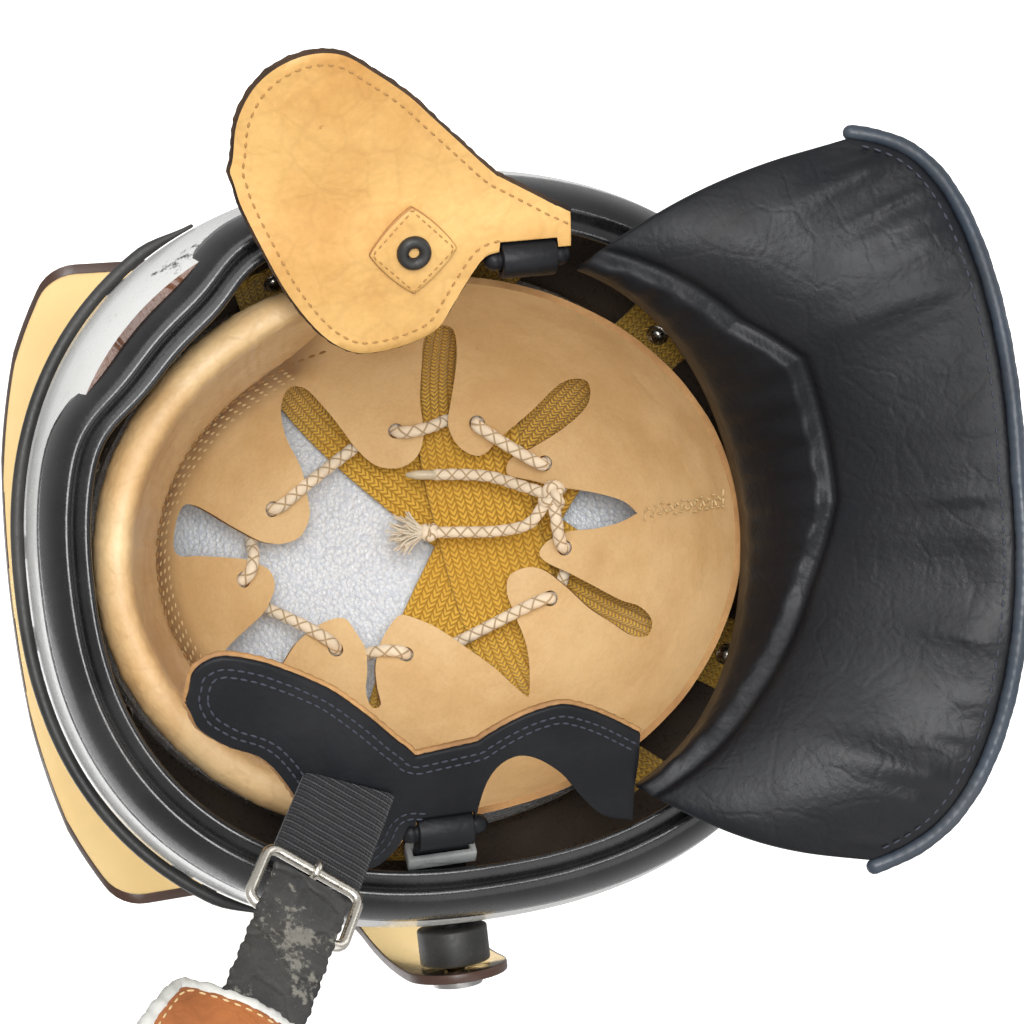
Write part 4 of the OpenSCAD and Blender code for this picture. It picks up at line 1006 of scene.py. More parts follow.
class OBJECT_OT_helmet_stage(HelmetOperator, bpy.types.Operator):
    """Camera, soft studio lamps, pale floor and the finishes"""
    bl_idname = "object.helmet_stage"
    bl_label = "Stage"
    # Each lamp's place, size and power. The last one shines into the bowl past the camera
    lamps = {"Key": ((0.75, -0.45, -1.0), 0.9, 7.0), "Fill": ((-0.9, 0.35, -0.9), 1.1, 4.0),
             "Rear": ((0.35, 1.15, -0.35), 0.8, 3.0), "Top": ((-0.5, -0.7, 1.1), 1.2, 6.0),
             "Bowl": ((0.1, -0.12, -1.0), 0.45, 9.0)}
    # Strength of the white world as light, and the share of the rest that reflections see
    sky, sheen = 0.42, 0.4
    floor_half, floor_z, floor_glow = 3.0, 0.176, 0.55

    def build(self):
        scene = bpy.context.scene
        scene.view_settings.view_transform = "Standard"
        self.camera(scene)
        for name, (place, size, power) in self.lamps.items():
            self.lamp(name, place, size, power)
        self.world(scene)
        self.floor()
        make_materials()
        TREES.update(stitch=stitch_tree(), mark=mark_tree())

    def camera(self, scene):
        data = bpy.data.cameras.new("Camera")
        data.lens = 70.66
        data.sensor_width = 36
        data.shift_x, data.shift_y = 0.0859, 0.0352
        data.clip_start, data.clip_end = 0.05, 20
        camera = add_object("Camera", data)
        right, up, back = (-0.1132, 0.9785, -0.1725), (0.9936, 0.1115, -0.0197), (0, -0.1736, -0.9848)
        turn = Matrix((right, up, back)).transposed().to_4x4()
        turn.translation = (0, -0.1042, -0.5909)
        camera.matrix_world = turn
        scene.camera = camera

    def lamp(self, name, place, size, power):
        data = bpy.data.lights.new(name, "AREA")
        data.shape = "SQUARE"
        data.size = size
        data.energy = power
        obj = add_object(name, data)
        obj.location = place
        obj.rotation_mode = "QUATERNION"
        obj.rotation_quaternion = obj.location.to_track_quat("Z", "Y")
        obj.visible_camera = False

    def camera_sees(self, n):
        """The light path, and 1 on the camera's rays, through the visor too."""
        path = n.new("ShaderNodeLightPath").outputs
        return path, n.math("MAXIMUM", path["Is Camera Ray"], path["Is Transmission Ray"])

    def world(self, scene):
        world = bpy.data.worlds.new("World")
        world.use_nodes = True
        n = Nodes(world.node_tree)
        n.tree.nodes.clear()
        path, seen = self.camera_sees(n)
        seen = n.math("MAXIMUM", seen, n.mul(path["Is Glossy Ray"], self.sheen))
        strength = n.plus(self.sky, n.mul(seen, 1 - self.sky))
        white = n.new("ShaderNodeBackground", {0: (1, 1, 1, 1), "Strength": strength})
        n.put(n.new("ShaderNodeOutputWorld").inputs[0], white.outputs[0])
        scene.world = world

    def floor(self):
        """A pale floor just past the crown, seen only from the helmet's side."""
        data = bpy.data.meshes.new("Floor")
        s, z = self.floor_half, self.floor_z
        data.from_pydata([(-s, -s, z), (-s, s, z), (s, s, z), (s, -s, z)], [], [(0, 1, 2, 3)])
        material = bpy.data.materials.new("Pale floor")
        material.use_nodes = True
        n = Nodes(material.node_tree)
        n.tree.nodes.clear()
        back = n.new("ShaderNodeNewGeometry").outputs["Backfacing"]
        shown = n.mul(self.camera_sees(n)[1], n.minus(1.0, back))
        pale = n.new("ShaderNodeBsdfDiffuse", {0: (0.9, 0.9, 0.9, 1)})
        glow = n.new("ShaderNodeEmission", {0: (1, 1, 1, 1), 1: self.floor_glow})
        both = n.new("ShaderNodeAddShader", {0: pale.outputs[0], 1: glow.outputs[0]})
        clear = n.new("ShaderNodeBsdfTransparent")
        mixed = n.new("ShaderNodeMixShader", {0: shown, 1: clear.outputs[0], 2: both.outputs[0]})
        n.put(n.new("ShaderNodeOutputMaterial").inputs[0], mixed.outputs[0])
        data.materials.append(material)
        obj = add_object("Floor", data)


class OBJECT_OT_helmet_lacing(HelmetOperator, bpy.types.Operator):
    """Braided lacing through the nine tongues, with its knot, stiff tip and frayed tassel"""
    bl_idname = "object.helmet_lacing"
    bl_label = "Lacing"

    def build(self):
        self.radius = sizes().lace_diameter / MM / 2
        place = dome_pt(165, 52)
        self.knot = place - outward(place) * 7
        self.laced()
        self.tie()
        long = [(14, 57, 82), (18, 51, 88), (22, 43, 94), (24, 34, 98), (25, 25, 100)]
        short = [(9, 57, 81), (4, 52, 86), (3, 42, 93), (4, 32, 97), (5, 22, 99)]
        tip = self.tip(np.array(long[-1], float), np.array(long[-2], float))
        tassel = self.tassel(np.array(short[-1], float), np.array(short[-2], float))
        self.tail("lacing_end_long", long, "lacing_tail_long", "fitting", tip)
        self.tail("lacing_end_short", short, "lacing_tail_short", "knot", tassel)

    def braid(self, around, along):
        """Relief of a round braid: two sets of strands that cross."""
        turns = along / BRAID_PITCH
        left = np.abs(np.sin(np.pi * (turns + 2 * around)))
        right = np.abs(np.sin(np.pi * (turns - 2 * around)))
        return 0.17 * np.minimum(left, right) ** 0.5 - 0.12

    def laced(self):
        front, behind = -(LACE_R + 0.5), LEATHER_T + LACE_R + 0.5

        def at(k, w):
            return HOLES[k] + outward(HOLES[k]) * w

        def edge(k, target, w):
            out = outward(HOLES[k])
            d = target - HOLES[k]
            way = unit(d - out * (d @ out))
            return HOLES[k] + way * (reach(k, target) + 1) + out * w, way

        start = [self.knot + unit(at(5, front) - self.knot) * 3, at(5, front), at(5, behind),
                 edge(5, HOLES[6], behind + 1)[0], edge(6, HOLES[5], behind + 1)[0], at(6, behind)]
        middle = []
        for k in (6, 7, 8, 0, 1, 2):
            t = (k + 1) % 9
            middle += [at(k, front), edge(k, HOLES[t], front)[0], edge(t, HOLES[k], behind)[0], at(t, behind)]
        last, way = edge(4, self.knot, 0)
        last = last + way * 1.5
        end = [at(3, front), at(4, front), at(4, behind), edge(4, self.knot, behind)[0], last,
               self.knot + unit(last - self.knot) * 3]
        path = self.eased(np.array(start + middle + end), 2.6)
        form = Form()
        form.tube(even_path(smooth_path(path, 6), 0.55), self.radius, 20, relief=self.braid)
        piece("lacing", form, "cord", "helmet", ["lacing_cord"], "lace_cord")

    def eased(self, path, cut):
        """Each inner corner of a path is taken by two points, the cut away from it."""
        out = [path[0]]
        for a, b, c in zip(path, path[1:], path[2:]):
            for other in (a, c):
                way = other - b
                far = np.linalg.norm(way)
                out.append(b + way / far * min(cut, far * 0.35))
        return np.array(out + [path[-1]])

    def tie(self):
        """The tied knot: a trefoil of the same cord."""
        t = np.radians(np.arange(0, 360, 2.5))
        loop = vec(np.sin(t) + 2 * np.sin(2 * t), np.cos(t) - 2 * np.cos(2 * t), -1.4 * np.sin(3 * t)) * 1.25
        out = outward(self.knot)
        side = unit(np.cross(out, [0, 0, 1]))
        turned = loop[:, :1] * side + loop[:, 1:2] * np.cross(out, side) + loop[:, 2:] * out
        form = Form()
        form.tube(self.knot + turned, self.radius * 0.82, 14, closed=True, relief=self.braid)
        piece("lacing_tied_knot", form, "cord", "helmet", ["lacing_knot"], "lace_cord")

    def tail(self, name, route, node, far_end, on_it):
        route = np.array(route, float)
        route[0] = self.knot + unit(route[1] - self.knot) * 4.5
        path = even_path(smooth_path(route, 12), 0.6)
        form = Form()
        form.tube(path, self.radius * 0.95, 20, relief=self.braid)
        obj = piece(name, form, "cord", "helmet", [node], "lace_cord")
        long = float(lengths(path)[-1]) * MM

    def tip(self, last, before):
        way = unit(last - before)
        form = Form()
        s = np.linspace(0.2, 10, 20)
        taper = np.interp(s, [0, 1, 7, 10], [0.95, 0.85, 0.8, 0.45])
        form.tube(last + way * s[:, None], self.radius * taper, 14)
        return piece("lacing_stiff_tip", form, "tip", "helmet", ["lacing_tip"], "lace_end")

    def tassel(self, last, before):
        way = unit(last - before)
        side = unit(np.cross(way, [0, 0, 1]))
        other = np.cross(way, side)
        form = Form()
        t = np.radians(np.arange(0, 720, 12))
        ball = 1.5 * (np.cos(t)[:, None] * side + np.sin(t)[:, None] * other)
        ball = ball + way * (np.sin(1.5 * t)[:, None] * 1.3 + 2)
        form.tube(last + ball, self.radius * 0.85, 12, relief=self.braid)
        count = sizes().tassel_strands
        for k in range(count):
            turn = k * GOLDEN
            spread = np.sqrt((k + 0.5) / count)
            out = np.cos(turn) * side + np.sin(turn) * other
            curl = np.cross(way, out)
            s = np.linspace(0, 1, 9)[:, None]
            long = 11 + 3 * np.sin(k * 1.7)
            strand = last + way * (3.2 + s * long * (1 - 0.35 * spread ** 2 * s))
            strand = strand + out * spread * (1.4 + 6.6 * s ** 1.3) + curl * np.sin(s * 5 + k) * 0.9 * s
            form.tube(strand, 0.34, 5, mark=1)
        return piece("lacing_frayed_tassel", form, ["cord", "frayed"], "helmet", ["lacing_tassel"],
                     "lace_cord")


class OBJECT_OT_helmet_shell(HelmetOperator, bpy.types.Operator):
    """Painted shell with its rubber rim trim, brow bead and buffers"""
    bl_idname = "object.helmet_shell"
    bl_label = "Shell and Trim"
    girth = 740          # length round the rim, for the paint's map
    lift_at = 42         # azimuth of the place where the trim stands off the rim
    bead_end = 62        # azimuth of the brow bead's ends

    def build(self):
        self.shell()
        self.trim()
        self.bead()
        cad_copy("visor_buffers", "visor_rubber_buffers", "rubber", "helmet", "rim_rubber", 0.5)

    def shell(self):
        a = np.arange(0, 360, 1.5)[None]
        share = np.concatenate([np.linspace(0, 0.1, 8)[:-1], np.linspace(0.1, 1, 52)])[:, None]

        def rows(inset):
            low = np.degrees(np.arcsin((rim_z(a) - SHELL_Z) / (SHELL_RZ - inset)))
            e = lerp(low, 89, share)
            return shell_pt(a, SHELL_Z + (SHELL_RZ - inset) * sin(e), inset)

        outer, inner = rows(0), rows(SHELL_T)
        around = np.arange(0, 361, 1.5) / 360 * self.girth
        form = Form()
        form.slab(outer, inner, ring=True, u=around, v=lengths(outer[:, 0]), marks=(0, 1, 2), cap=True)
        piece("shell", form, ["paint", "inside", "torn"], "helmet", ["outer_shell"], "shell_paint", 50)

    def trim(self):
        """Two-ridged rubber section swept round the rim. It stands off the shell at the left brow."""
        half = SHELL_T / 2 + 3
        wall = [(1.9, 9), (3.2, 9), (4.2, 8.3), (half, 5), (half, 1), (half - 0.2, -1.5), (half - 0.8, -3.4),
                (half - 1.8, -4.5), (half - 2.9, -4.6), (half - 3.7, -3.9), (half - 4.3, -2.9)]
        groove = [(-1.9, 0.3), (-1.9, -0.3), (1.9, -0.3), (1.9, 0.3)]
        section = np.array(wall + [(0, -2.5)] + [(-w, h) for w, h in wall[::-1]] + groove)
        a = np.arange(0, 360, 1.5)[:, None]
        off = 5.0 * np.exp(-((a - self.lift_at) / 17.0) ** 4)
        drop = 1.6 * np.exp(-((a - self.lift_at) / 19.0) ** 4)
        rows = shell_pt(a, rim_z(a) + section[None, :, 1] - drop, SHELL_T / 2 - section[None, :, 0] + off)
        form = Form()
        form.grid(np.concatenate([rows, rows[:1]]), ring=True)
        piece("rim_rubber_trim", form, "trim", "helmet", ["rim_trim"], "rim_rubber", 70)

    def bead(self):
        form = Form()
        a = np.linspace(-self.bead_end, self.bead_end, 90)
        end = smooth((self.bead_end - np.abs(a)) / 9)
        form.tube(shell_pt(a, 24, lerp(-0.9, -2.3, end)), lerp(0.6, 2, end), 14)
        piece("brow_rubber_bead", form, "rubber", "helmet", ["brow_seal"], "rim_rubber")


class OBJECT_OT_helmet_crown(HelmetOperator, bpy.types.Operator):
    """Bead foam crown, dark inner skirt with its rivets, and the three lengths of webbing"""
    bl_idname = "object.helmet_crown"
    bl_label = "Crown"
    # The webbing's level by its distance from the middle, as a share of the band's radius
    profile = [(0, 121.5), (0.3, 119.5), (0.45, 116.5), (0.6, 110.5), (0.75, 98), (0.86, 82), (0.93, 68),
               (1, 53), (1.1, 44)]
    width, narrow, layer_step = 34, 0.72, 2.9
    # The azimuths of each length's two ends, and how many lengths it lies under
    ends = {"front_left": (70, 208, 0), "transverse": (107, 239, 2), "front_right": (141, 277, 1)}

    def build(self):
        self.foam()
        self.skirt()
        self.rivets()
        for name, (a, b, layer) in self.ends.items():
            self.web(name, a, b, layer)

    def foam(self):
        a = np.arange(0, 360, 2.0)[None]
        s = np.linspace(0, 1, 44)[:, None]
        outer = shell_pt(a, SHELL_Z + (SHELL_RZ - FOAM_INSET) * sin(lerp(FOAM_E, 88, s)), FOAM_INSET)
        inner = foam_in_pt(a, 88 * s)
        inner = inner + unit(inner - [0, 5, 40]) * (ripple(inner, 38, 2.0) * 0.9)[..., None]
        form = Form()
        form.slab(outer, inner, ring=True, cap=True)
        piece("crown_foam", form, "foam", "helmet", ["foam_liner"], "foam")

    def skirt(self):
        a = np.arange(0, 360, 2.0)[None]
        v = np.linspace(0, 1, 10)[:, None]
        wave = ripple(skirt_pt(a, v, 0.0)[0], 30, 1.0) * 0.15
        top, low = skirt_pt(a, v, 0.3 + 0 * wave)[0], skirt_pt(a, v, 1.8 + wave)[0]
        form = Form()
        form.slab(top, low, ring=True, edge=0.3)
        piece("dark_skirt", form, "skirt", "helmet", ["inner_skirt"], "skirt")

    def rivets(self):
        """Four rivets on the skirt itself, and one on each foot of the webbing."""
        feet = [a for first, last, _ in self.ends.values() for a in (first, last)]
        places = [(a, 2.0) for a in (-24, 17, 22, 180)] + [(a, 4.2) for a in feet]
        at, up = zip(*(skirt_pt(a, 0.76, drop) for a, drop in places))
        along = np.cross(up, (0, 0, 1))
        marks("domed_rivets", at, up, along, "steel", "helmet", (2.9, 2.9, 2.2), 1.25,
              nodes=["skirt_rivets"], slot="rivet_metal")

    def web(self, name, a0, a1, layer):
        table = smooth_path(self.profile, 12)
        ends = np.array([(BAND_RX * 1.03 * sin(a), BAND_Y - BAND_RY * 1.03 * cos(a)) for a in (a0, a1)])
        along = unit(ends[1] - ends[0])
        across = np.array([-along[1], along[0]])
        widths = np.linspace(-0.5, 0.5, 15)
        steps = 40
        rows = []
        # A foot lies on the skirt, so its width is taken there as degrees round the shell
        turn = np.degrees(np.arctan(self.width * self.narrow / 198 * 2))

        def foot(a, v, sign):
            return np.array([skirt_pt(a + turn * s * sign, v, 2.9)[0] for s in widths])

        rows += [foot(a0, 0.62, -1), foot(a0, 0.97, -1)]
        for i in range(steps + 1):
            middle = lerp(ends[0], ends[1], (1 - cos(180 * i / steps)) / 2)
            p = middle + np.outer(widths * self.width * lerp(self.narrow, 1, sin(180 * i / steps)), across)
            s = np.hypot(p[:, 0] / BAND_RX, (p[:, 1] - BAND_Y) / BAND_RY)
            under = layer * self.layer_step * np.maximum(0, 1 - (s / 0.98) ** 8)
            z = np.interp(s, table[:, 0], table[:, 1]) - under
            rows.append(np.column_stack([p, z - 0.8]))
        rows += [foot(a1, 0.97, 1), foot(a1, 0.62, 1)]
        middle = smooth_path(np.array(rows), 4)
        normal = normals_of(middle)
        if normal[len(middle) // 2, 7, 2] < 0:
            normal = -normal
        form = Form()
        edge = 0.8 * (1 - (2 * widths) ** 8)[None, :, None] + 0.25
        form.slab(middle - normal * edge, middle + normal * edge, u=widths * self.width,
                  v=lengths(middle[:, 7]), edge=0.3)
        piece("web_" + name, form, "webbing", "helmet", ["webbing_" + name], "crown_webbing")


class OBJECT_OT_helmet_liner(HelmetOperator, bpy.types.Operator):
    """Tan leather headband cut into nine tongues, with its stitching, slits and padded brow roll"""
    bl_idname = "object.helmet_liner"
    bl_label = "Leather Liner"
    scale = np.array([1.5, 1.75])    # millimetres per degree when the leather is laid flat
    hole_radius = 2.75
    roll_end = 77                    # azimuth of the brow roll's ends

    def build(self):
        self.leather_dome()
        self.roll()
        self.sewing()
        self.slits()

    def loops(self):
        """Outer edge of the flat leather, and the edges of its lace holes."""
        start = SEAM - 360
        cut = np.linspace(0, CUT[0][1], 16)[1:-1]
        base = np.linspace(start, SEAM, 200)
        loop = np.concatenate([np.column_stack([base, 0 * base]), np.column_stack([0 * cut + SEAM, cut]),
                               leather_edge()[::-1], np.column_stack([0 * cut + start, cut[::-1]])])
        kept = [loop[0]]
        for p in loop[1:]:
            if np.linalg.norm((p - kept[-1]) * self.scale) > 0.25:
                kept.append(p)
        loops = [np.array(kept)]
        t = np.arange(0, 360, 18)[:, None]
        for hole in HOLES:
            out = outward(hole)
            side = unit(np.cross(out, [0, 0, 1]))
            a, e = dome_place(hole + self.hole_radius * (cos(t) * side + sin(t) * np.cross(side, out)))
            loops.append(np.column_stack([(a - start) % 360 + start, e]))
        return loops

    def flat_leather(self):
        """The leather laid flat: its points, its triangles and its cut edges."""
        loops = self.loops()
        start = SEAM - 360
        points = np.concatenate(loops)
        ga, ge = np.meshgrid(np.arange(start + 1.5, SEAM - 1, 2.2), np.arange(1.5, 84, 1.9))
        ga = ga + (np.arange(ga.shape[0])[:, None] % 2) * 1.1
        spots = np.column_stack([ga.ravel(), ge.ravel()])
        spots = spots[inside(spots, loops[0]) & (spots[:, 0] < SEAM - 1)]
        near = np.min(np.linalg.norm((spots[:, None] - points[None]) * self.scale, axis=2), axis=1)
        spots = spots[near > 1.0]
        edges, count = [], 0
        for loop in loops:
            edges += [(count + k, count + (k + 1) % len(loop)) for k in range(len(loop))]
            count += len(loop)
        every = np.concatenate([points, spots]) * self.scale
        made = delaunay_2d_cdt([tuple(p) for p in every], edges, [list(range(len(loops[0])))], 1, 1e-5)
        flat = np.array([tuple(p) for p in made[0]]) / self.scale
        faces = np.array([f for f in made[2] if len(f) == 3])
        for loop in loops[1:]:
            faces = faces[~inside(flat[faces].mean(1), loop)]
        times = {}
        for p, q in np.concatenate([faces[:, [0, 1]], faces[:, [1, 2]], faces[:, [2, 0]]]).tolist():
            pair = (min(p, q), max(p, q))
            times[pair] = times.get(pair, 0) + 1
        sewn = (np.abs(flat[:, 0] - start) < 0.02) | (np.abs(flat[:, 0] - SEAM) < 0.02)
        border = [edge for edge, n in times.items() if n == 1 and not sewn[list(edge)].all()]
        return flat, faces, np.array(border)

    def leather_dome(self):
        flat, faces, border = self.flat_leather()
        inner, outer = self.skin(flat, 0.0), self.skin(flat, LEATHER_T)
        count, uv = len(flat), flat * self.scale
        form = Form()
        form.add(np.concatenate([inner, outer]), np.concatenate([faces, faces[:, ::-1] + count]),
                 np.concatenate([uv[faces], uv[faces[:, ::-1]]]))
        walls = np.column_stack([border, border[:, ::-1] + count])
        form.add(np.concatenate([inner, outer]), walls, mark=1)
        piece("liner", form, ["liner", "flesh"], "helmet", ["leather_liner"], "liner_leather", 42)

    def skin(self, flat, out):
        """Points of the leather: the dome, a little uneven where it hangs free of the band."""
        a, e = flat[:, 0], flat[:, 1]
        p = dome_pt(a, e)
        wave = ripple(p, 55, 0.7) * 0.7 * smooth((e - 8) / 20) + ripple(p, 24, 1.9) * 0.2
        return dome_pt(a, e, out + wave)

    def roll(self):
        """Padded roll: it wraps the leather's lower edge and lies up its inner face to a line of stitches."""
        # Distance outward from the leather's inner face, and level
        face = smooth_path([(2.3, 17.5), (5.6, 17), (8.3, 13), (9, 8), (8.3, 2.5), (5.6, -1.6), (2, -3),
                            (-1, -2.2), (-2.7, 2), (-3.3, 10), (-3.6, 24), (-3.5, 38), (-3, 48),
                            (-1.9, 53), (-0.4, 55.2)], 4)
        back = even_path([(2.2, 16.5), (2.2, 0.2), (1.9, -0.6), (0.1, -0.6), (-0.1, 0.2), (-0.1, 54.6)], 1.0)
        share = lengths(face) / lengths(face)[-1]
        along = lengths(back) / lengths(back)[-1]
        back = np.stack([np.interp(share, along, column) for column in back.T], -1)
        a = np.linspace(-self.roll_end, self.roll_end, 260)[None]
        full = (1 - np.abs(a / (self.roll_end + 0.2)) ** 9) ** 0.5
        n = unit(vec(sin(a) / BAND_RX, -cos(a) / BAND_RY, 0))
        fold = np.sin(a * 0.83 + 1.3 * np.sin(a * 0.21)) * np.sin(a * 0.37 + 2)

        def place(path, soft):
            w, z = path[:, :1], path[:, 1:]
            swell = np.sign(w - 1) * soft * 0.3 * fold ** 2 * smooth((np.abs(w - 1) - 1.2) / 2)
            w = lerp(np.clip(w, -0.1, 2.2), w + swell, full)
            z = z * lerp(0.4, 1, full)
            base = dome_pt(a, np.degrees(np.arcsin(np.maximum(z, 0) / DOME_H)))
            return base + n * w[..., None] + vec(0, 0, np.minimum(z, 0) + 0 * a)

        form = Form()
        form.slab(place(face, 1.0), place(back, 0.0), u=a[0] * 1.5, v=lengths(face))
        obj = piece("brow_roll", form, "brow", "helmet", ["brow_pad"], "liner_leather")

    def sewing(self):
        """Stitches along the brow roll's upper edge, and the zigzag of the leather's seam at the nape."""
        a = np.linspace(2 - self.roll_end, self.roll_end - 2, 160)
        line = dome_pt(a, 28.6 + 0 * a, -3.1 + 0 * a)
        stitches("brow_stitching", [line], [-outward(line)], "brow_thread", "helmet", 2.5, 3.7, 0.42)
        e = np.linspace(3, CUT[0][1] - 2, 26)
        swing = np.where(np.arange(26) % 2, 1.7, -1.7)
        line = self.skin(np.column_stack([SEAM + swing, e]), -0.3)
        stitches("nape_zigzag", [line], [-outward(line)], "pale_thread", "helmet", 2.8, 2.9)

    def slits(self):
        """Slits in four rows over the sweatband, each with its lips a little raised."""
        column, row = [x.ravel() for x in np.meshgrid(np.arange(-67, 68, 2.7), np.arange(4))]
        lowest, row_step, row_shift = 32.6, 1.9, 0.7
        spots = np.column_stack([column + row_shift * row, lowest + row_step * row])
        edge = leather_loop()
        spots = spots[inside(spots, edge) & inside(spots + (0, 2.5), edge)]
        at = self.skin(spots, -0.12)
        along = self.skin(spots + (1.2, 0.6), -0.12) - at
        half = sizes().slit_length / MM / 2
        marks("sweatband_slits", at, -outward(at), along, "pale_thread", "helmet", (half * 0.8, 0.48, 0.2))


class OBJECT_OT_helmet_visor(HelmetOperator, bpy.types.Operator):
    """Tinted visor plate with its dark edge, pivot bosses and screws"""
    bl_idname = "object.helmet_visor"
    bl_label = "Visor"
    raised, pivot_z = 80, 28

    def build(self):
        obj = cad_copy("visor_plate", "visor_tinted_plate", "visor", "visor", "visor_clear", 0.5, 30)
        data = obj.data
        data.materials.append(MATERIALS["visor_edge"])
        turn = np.radians(self.raised)

        def lowered(p):
            y, z = p[1] * np.cos(turn) - p[2] * np.sin(turn), p[1] * np.sin(turn) + p[2] * np.cos(turn)
            return np.array([p[0], y, z])

        # The faces that stand on the plate's edge, found with the visor lowered, take the dark finish
        for face in data.polygons:
            n = lowered(np.array(face.normal))
            c = lowered(np.array(face.center) / MM - (0, 0, self.pivot_z))
            flat = abs(n[0]) if c[1] > -1 else abs(n[:2] @ unit(c[:2]))
            face.material_index = 0 if flat > 0.75 else 1
        cad_copy("visor_pivot_bosses", "visor_spacer_bosses", "rubber", "helmet", "pivot_black", 0.6)
        cad_copy("visor_pivot_screws", "visor_screws", "screw", "helmet", "screw_metal", 0.35)


FLAP_X, FLAP_Z = 80, -26        # the axis along Y that each flap turns on


def flap_place(side, angle, y, q, w):
    """A point of a flap: along its axis, by its reach from the axis, and over its middle face."""
    x = side * (FLAP_X + q * sin(angle) + w * cos(angle))
    return vec(x, y, FLAP_Z - q * cos(angle) + w * sin(angle))


# Ear flaps: side, angle from hanging, place of the hanger and of the patch, and rows of the outline.
# A row has its place along Y and the reach of the lower and the upper edge there.
FLAPS = {
    "left": (1, 60, 27, 1,
             [(-49, 31.6, 32.4), (-48, 28, 36), (-46.5, 22, 46), (-42, 11, 55), (-35, -4, 61), (-26, -17, 64),
              (-17, -23.5, 63), (-8, -24, 57), (1, -22, 50), (8, -18.5, 43), (13, -11, 38), (18, -3, 33),
              (22, 2, 29), (26.25, 3.3, 25)],
             [(43.75, 3.3, 15), (47.5, 3.3, 13)]),
    "right": (-1, -60, -16, -31,
              [(-78, 54.6, 55.4), (-77, 52, 58), (-75, 47, 63.5), (-68, 41, 66.5), (-58, 35, 64),
               (-50, 20, 60), (-45, 2, 57), (-38, -7, 52), (-29, -9, 43), (-22, -3, 35), (-19, 3.4, 32),
               (-16.75, 3.3, 29)],
              [(0.75, 3.3, 31), (4, 19, 33), (10, 25, 36), (17, 24, 38.5), (25, 17, 39.5), (32, 6, 37),
               (39, -2, 33), (47.5, -5, 27)]),
}


class Flap:
    """Shape of one ear flap, with a slot in its lower edge for the loop of its hanger."""
    patch_q, patch_half = 6, 9.8        # reach of the patch's middle, and half its side

    def __init__(self, name):
        self.name, self.body = name, name + "_flap"
        self.side, self.angle, self.hanger, self.patch_y, lobe, rear = FLAPS[name]
        front, back = smooth_path(lobe, 5), smooth_path(rear, 5)
        high, last = lobe[-1][2], rear[0][2]
        y = self.hanger + np.array([-0.45, 0, 4, 8, 12, 16, 16.45])
        slot = np.column_stack([y, 0 * y + 6.1, np.interp(y, [y[0], y[-1]], [high, last])])
        self.rows = np.concatenate([front, slot, back])
        self.neck = len(front)
        self.face = self.at(0, 0, 1.0) - self.at(0, 0, 0.0)

    def bow(self, q):
        """How far the flap bows outward at its reach."""
        return 3 * (1 - ((q - 27.5) / 36.5) ** 2) * smooth((q - 2) / 20)

    def at(self, y, q, w):
        """A point by its place along Y, its reach, and its height over the middle face."""
        wave = (np.sin(y * 0.11 + 1) + np.sin(q * 0.13 + y * 0.05)) * 0.5 * smooth((q - 12) / 20)
        return flap_place(self.side, self.angle, y, q, w + self.bow(q) + wave * (1 if self.side > 0 else 0.6))

    def grid(self, w, rows=34):
        y, low, high = self.rows.T
        q = lerp(low, high, np.linspace(0, 1, rows)[:, None])
        return self.at(y + 0 * q, q, w)

    def rim(self, w, inset):
        """Path along the edge from the slot round the lobe to the rear end, so far in from the edge."""
        low, high = self.rows[:self.neck, :2], self.rows[:, [0, 2]]
        path = np.concatenate([low[::-1], high[1:]])
        path = even_path(path, 1.0)
        t = unit(np.gradient(path, axis=0))
        inner = path + inset * np.column_stack([t[:, 1], -t[:, 0]])
        near = np.min(np.linalg.norm(inner[:, None] - path[None], axis=2), axis=1)
        inner = inner[near > inset * 0.93]
        return self.at(inner[:, 0], inner[:, 1], w)


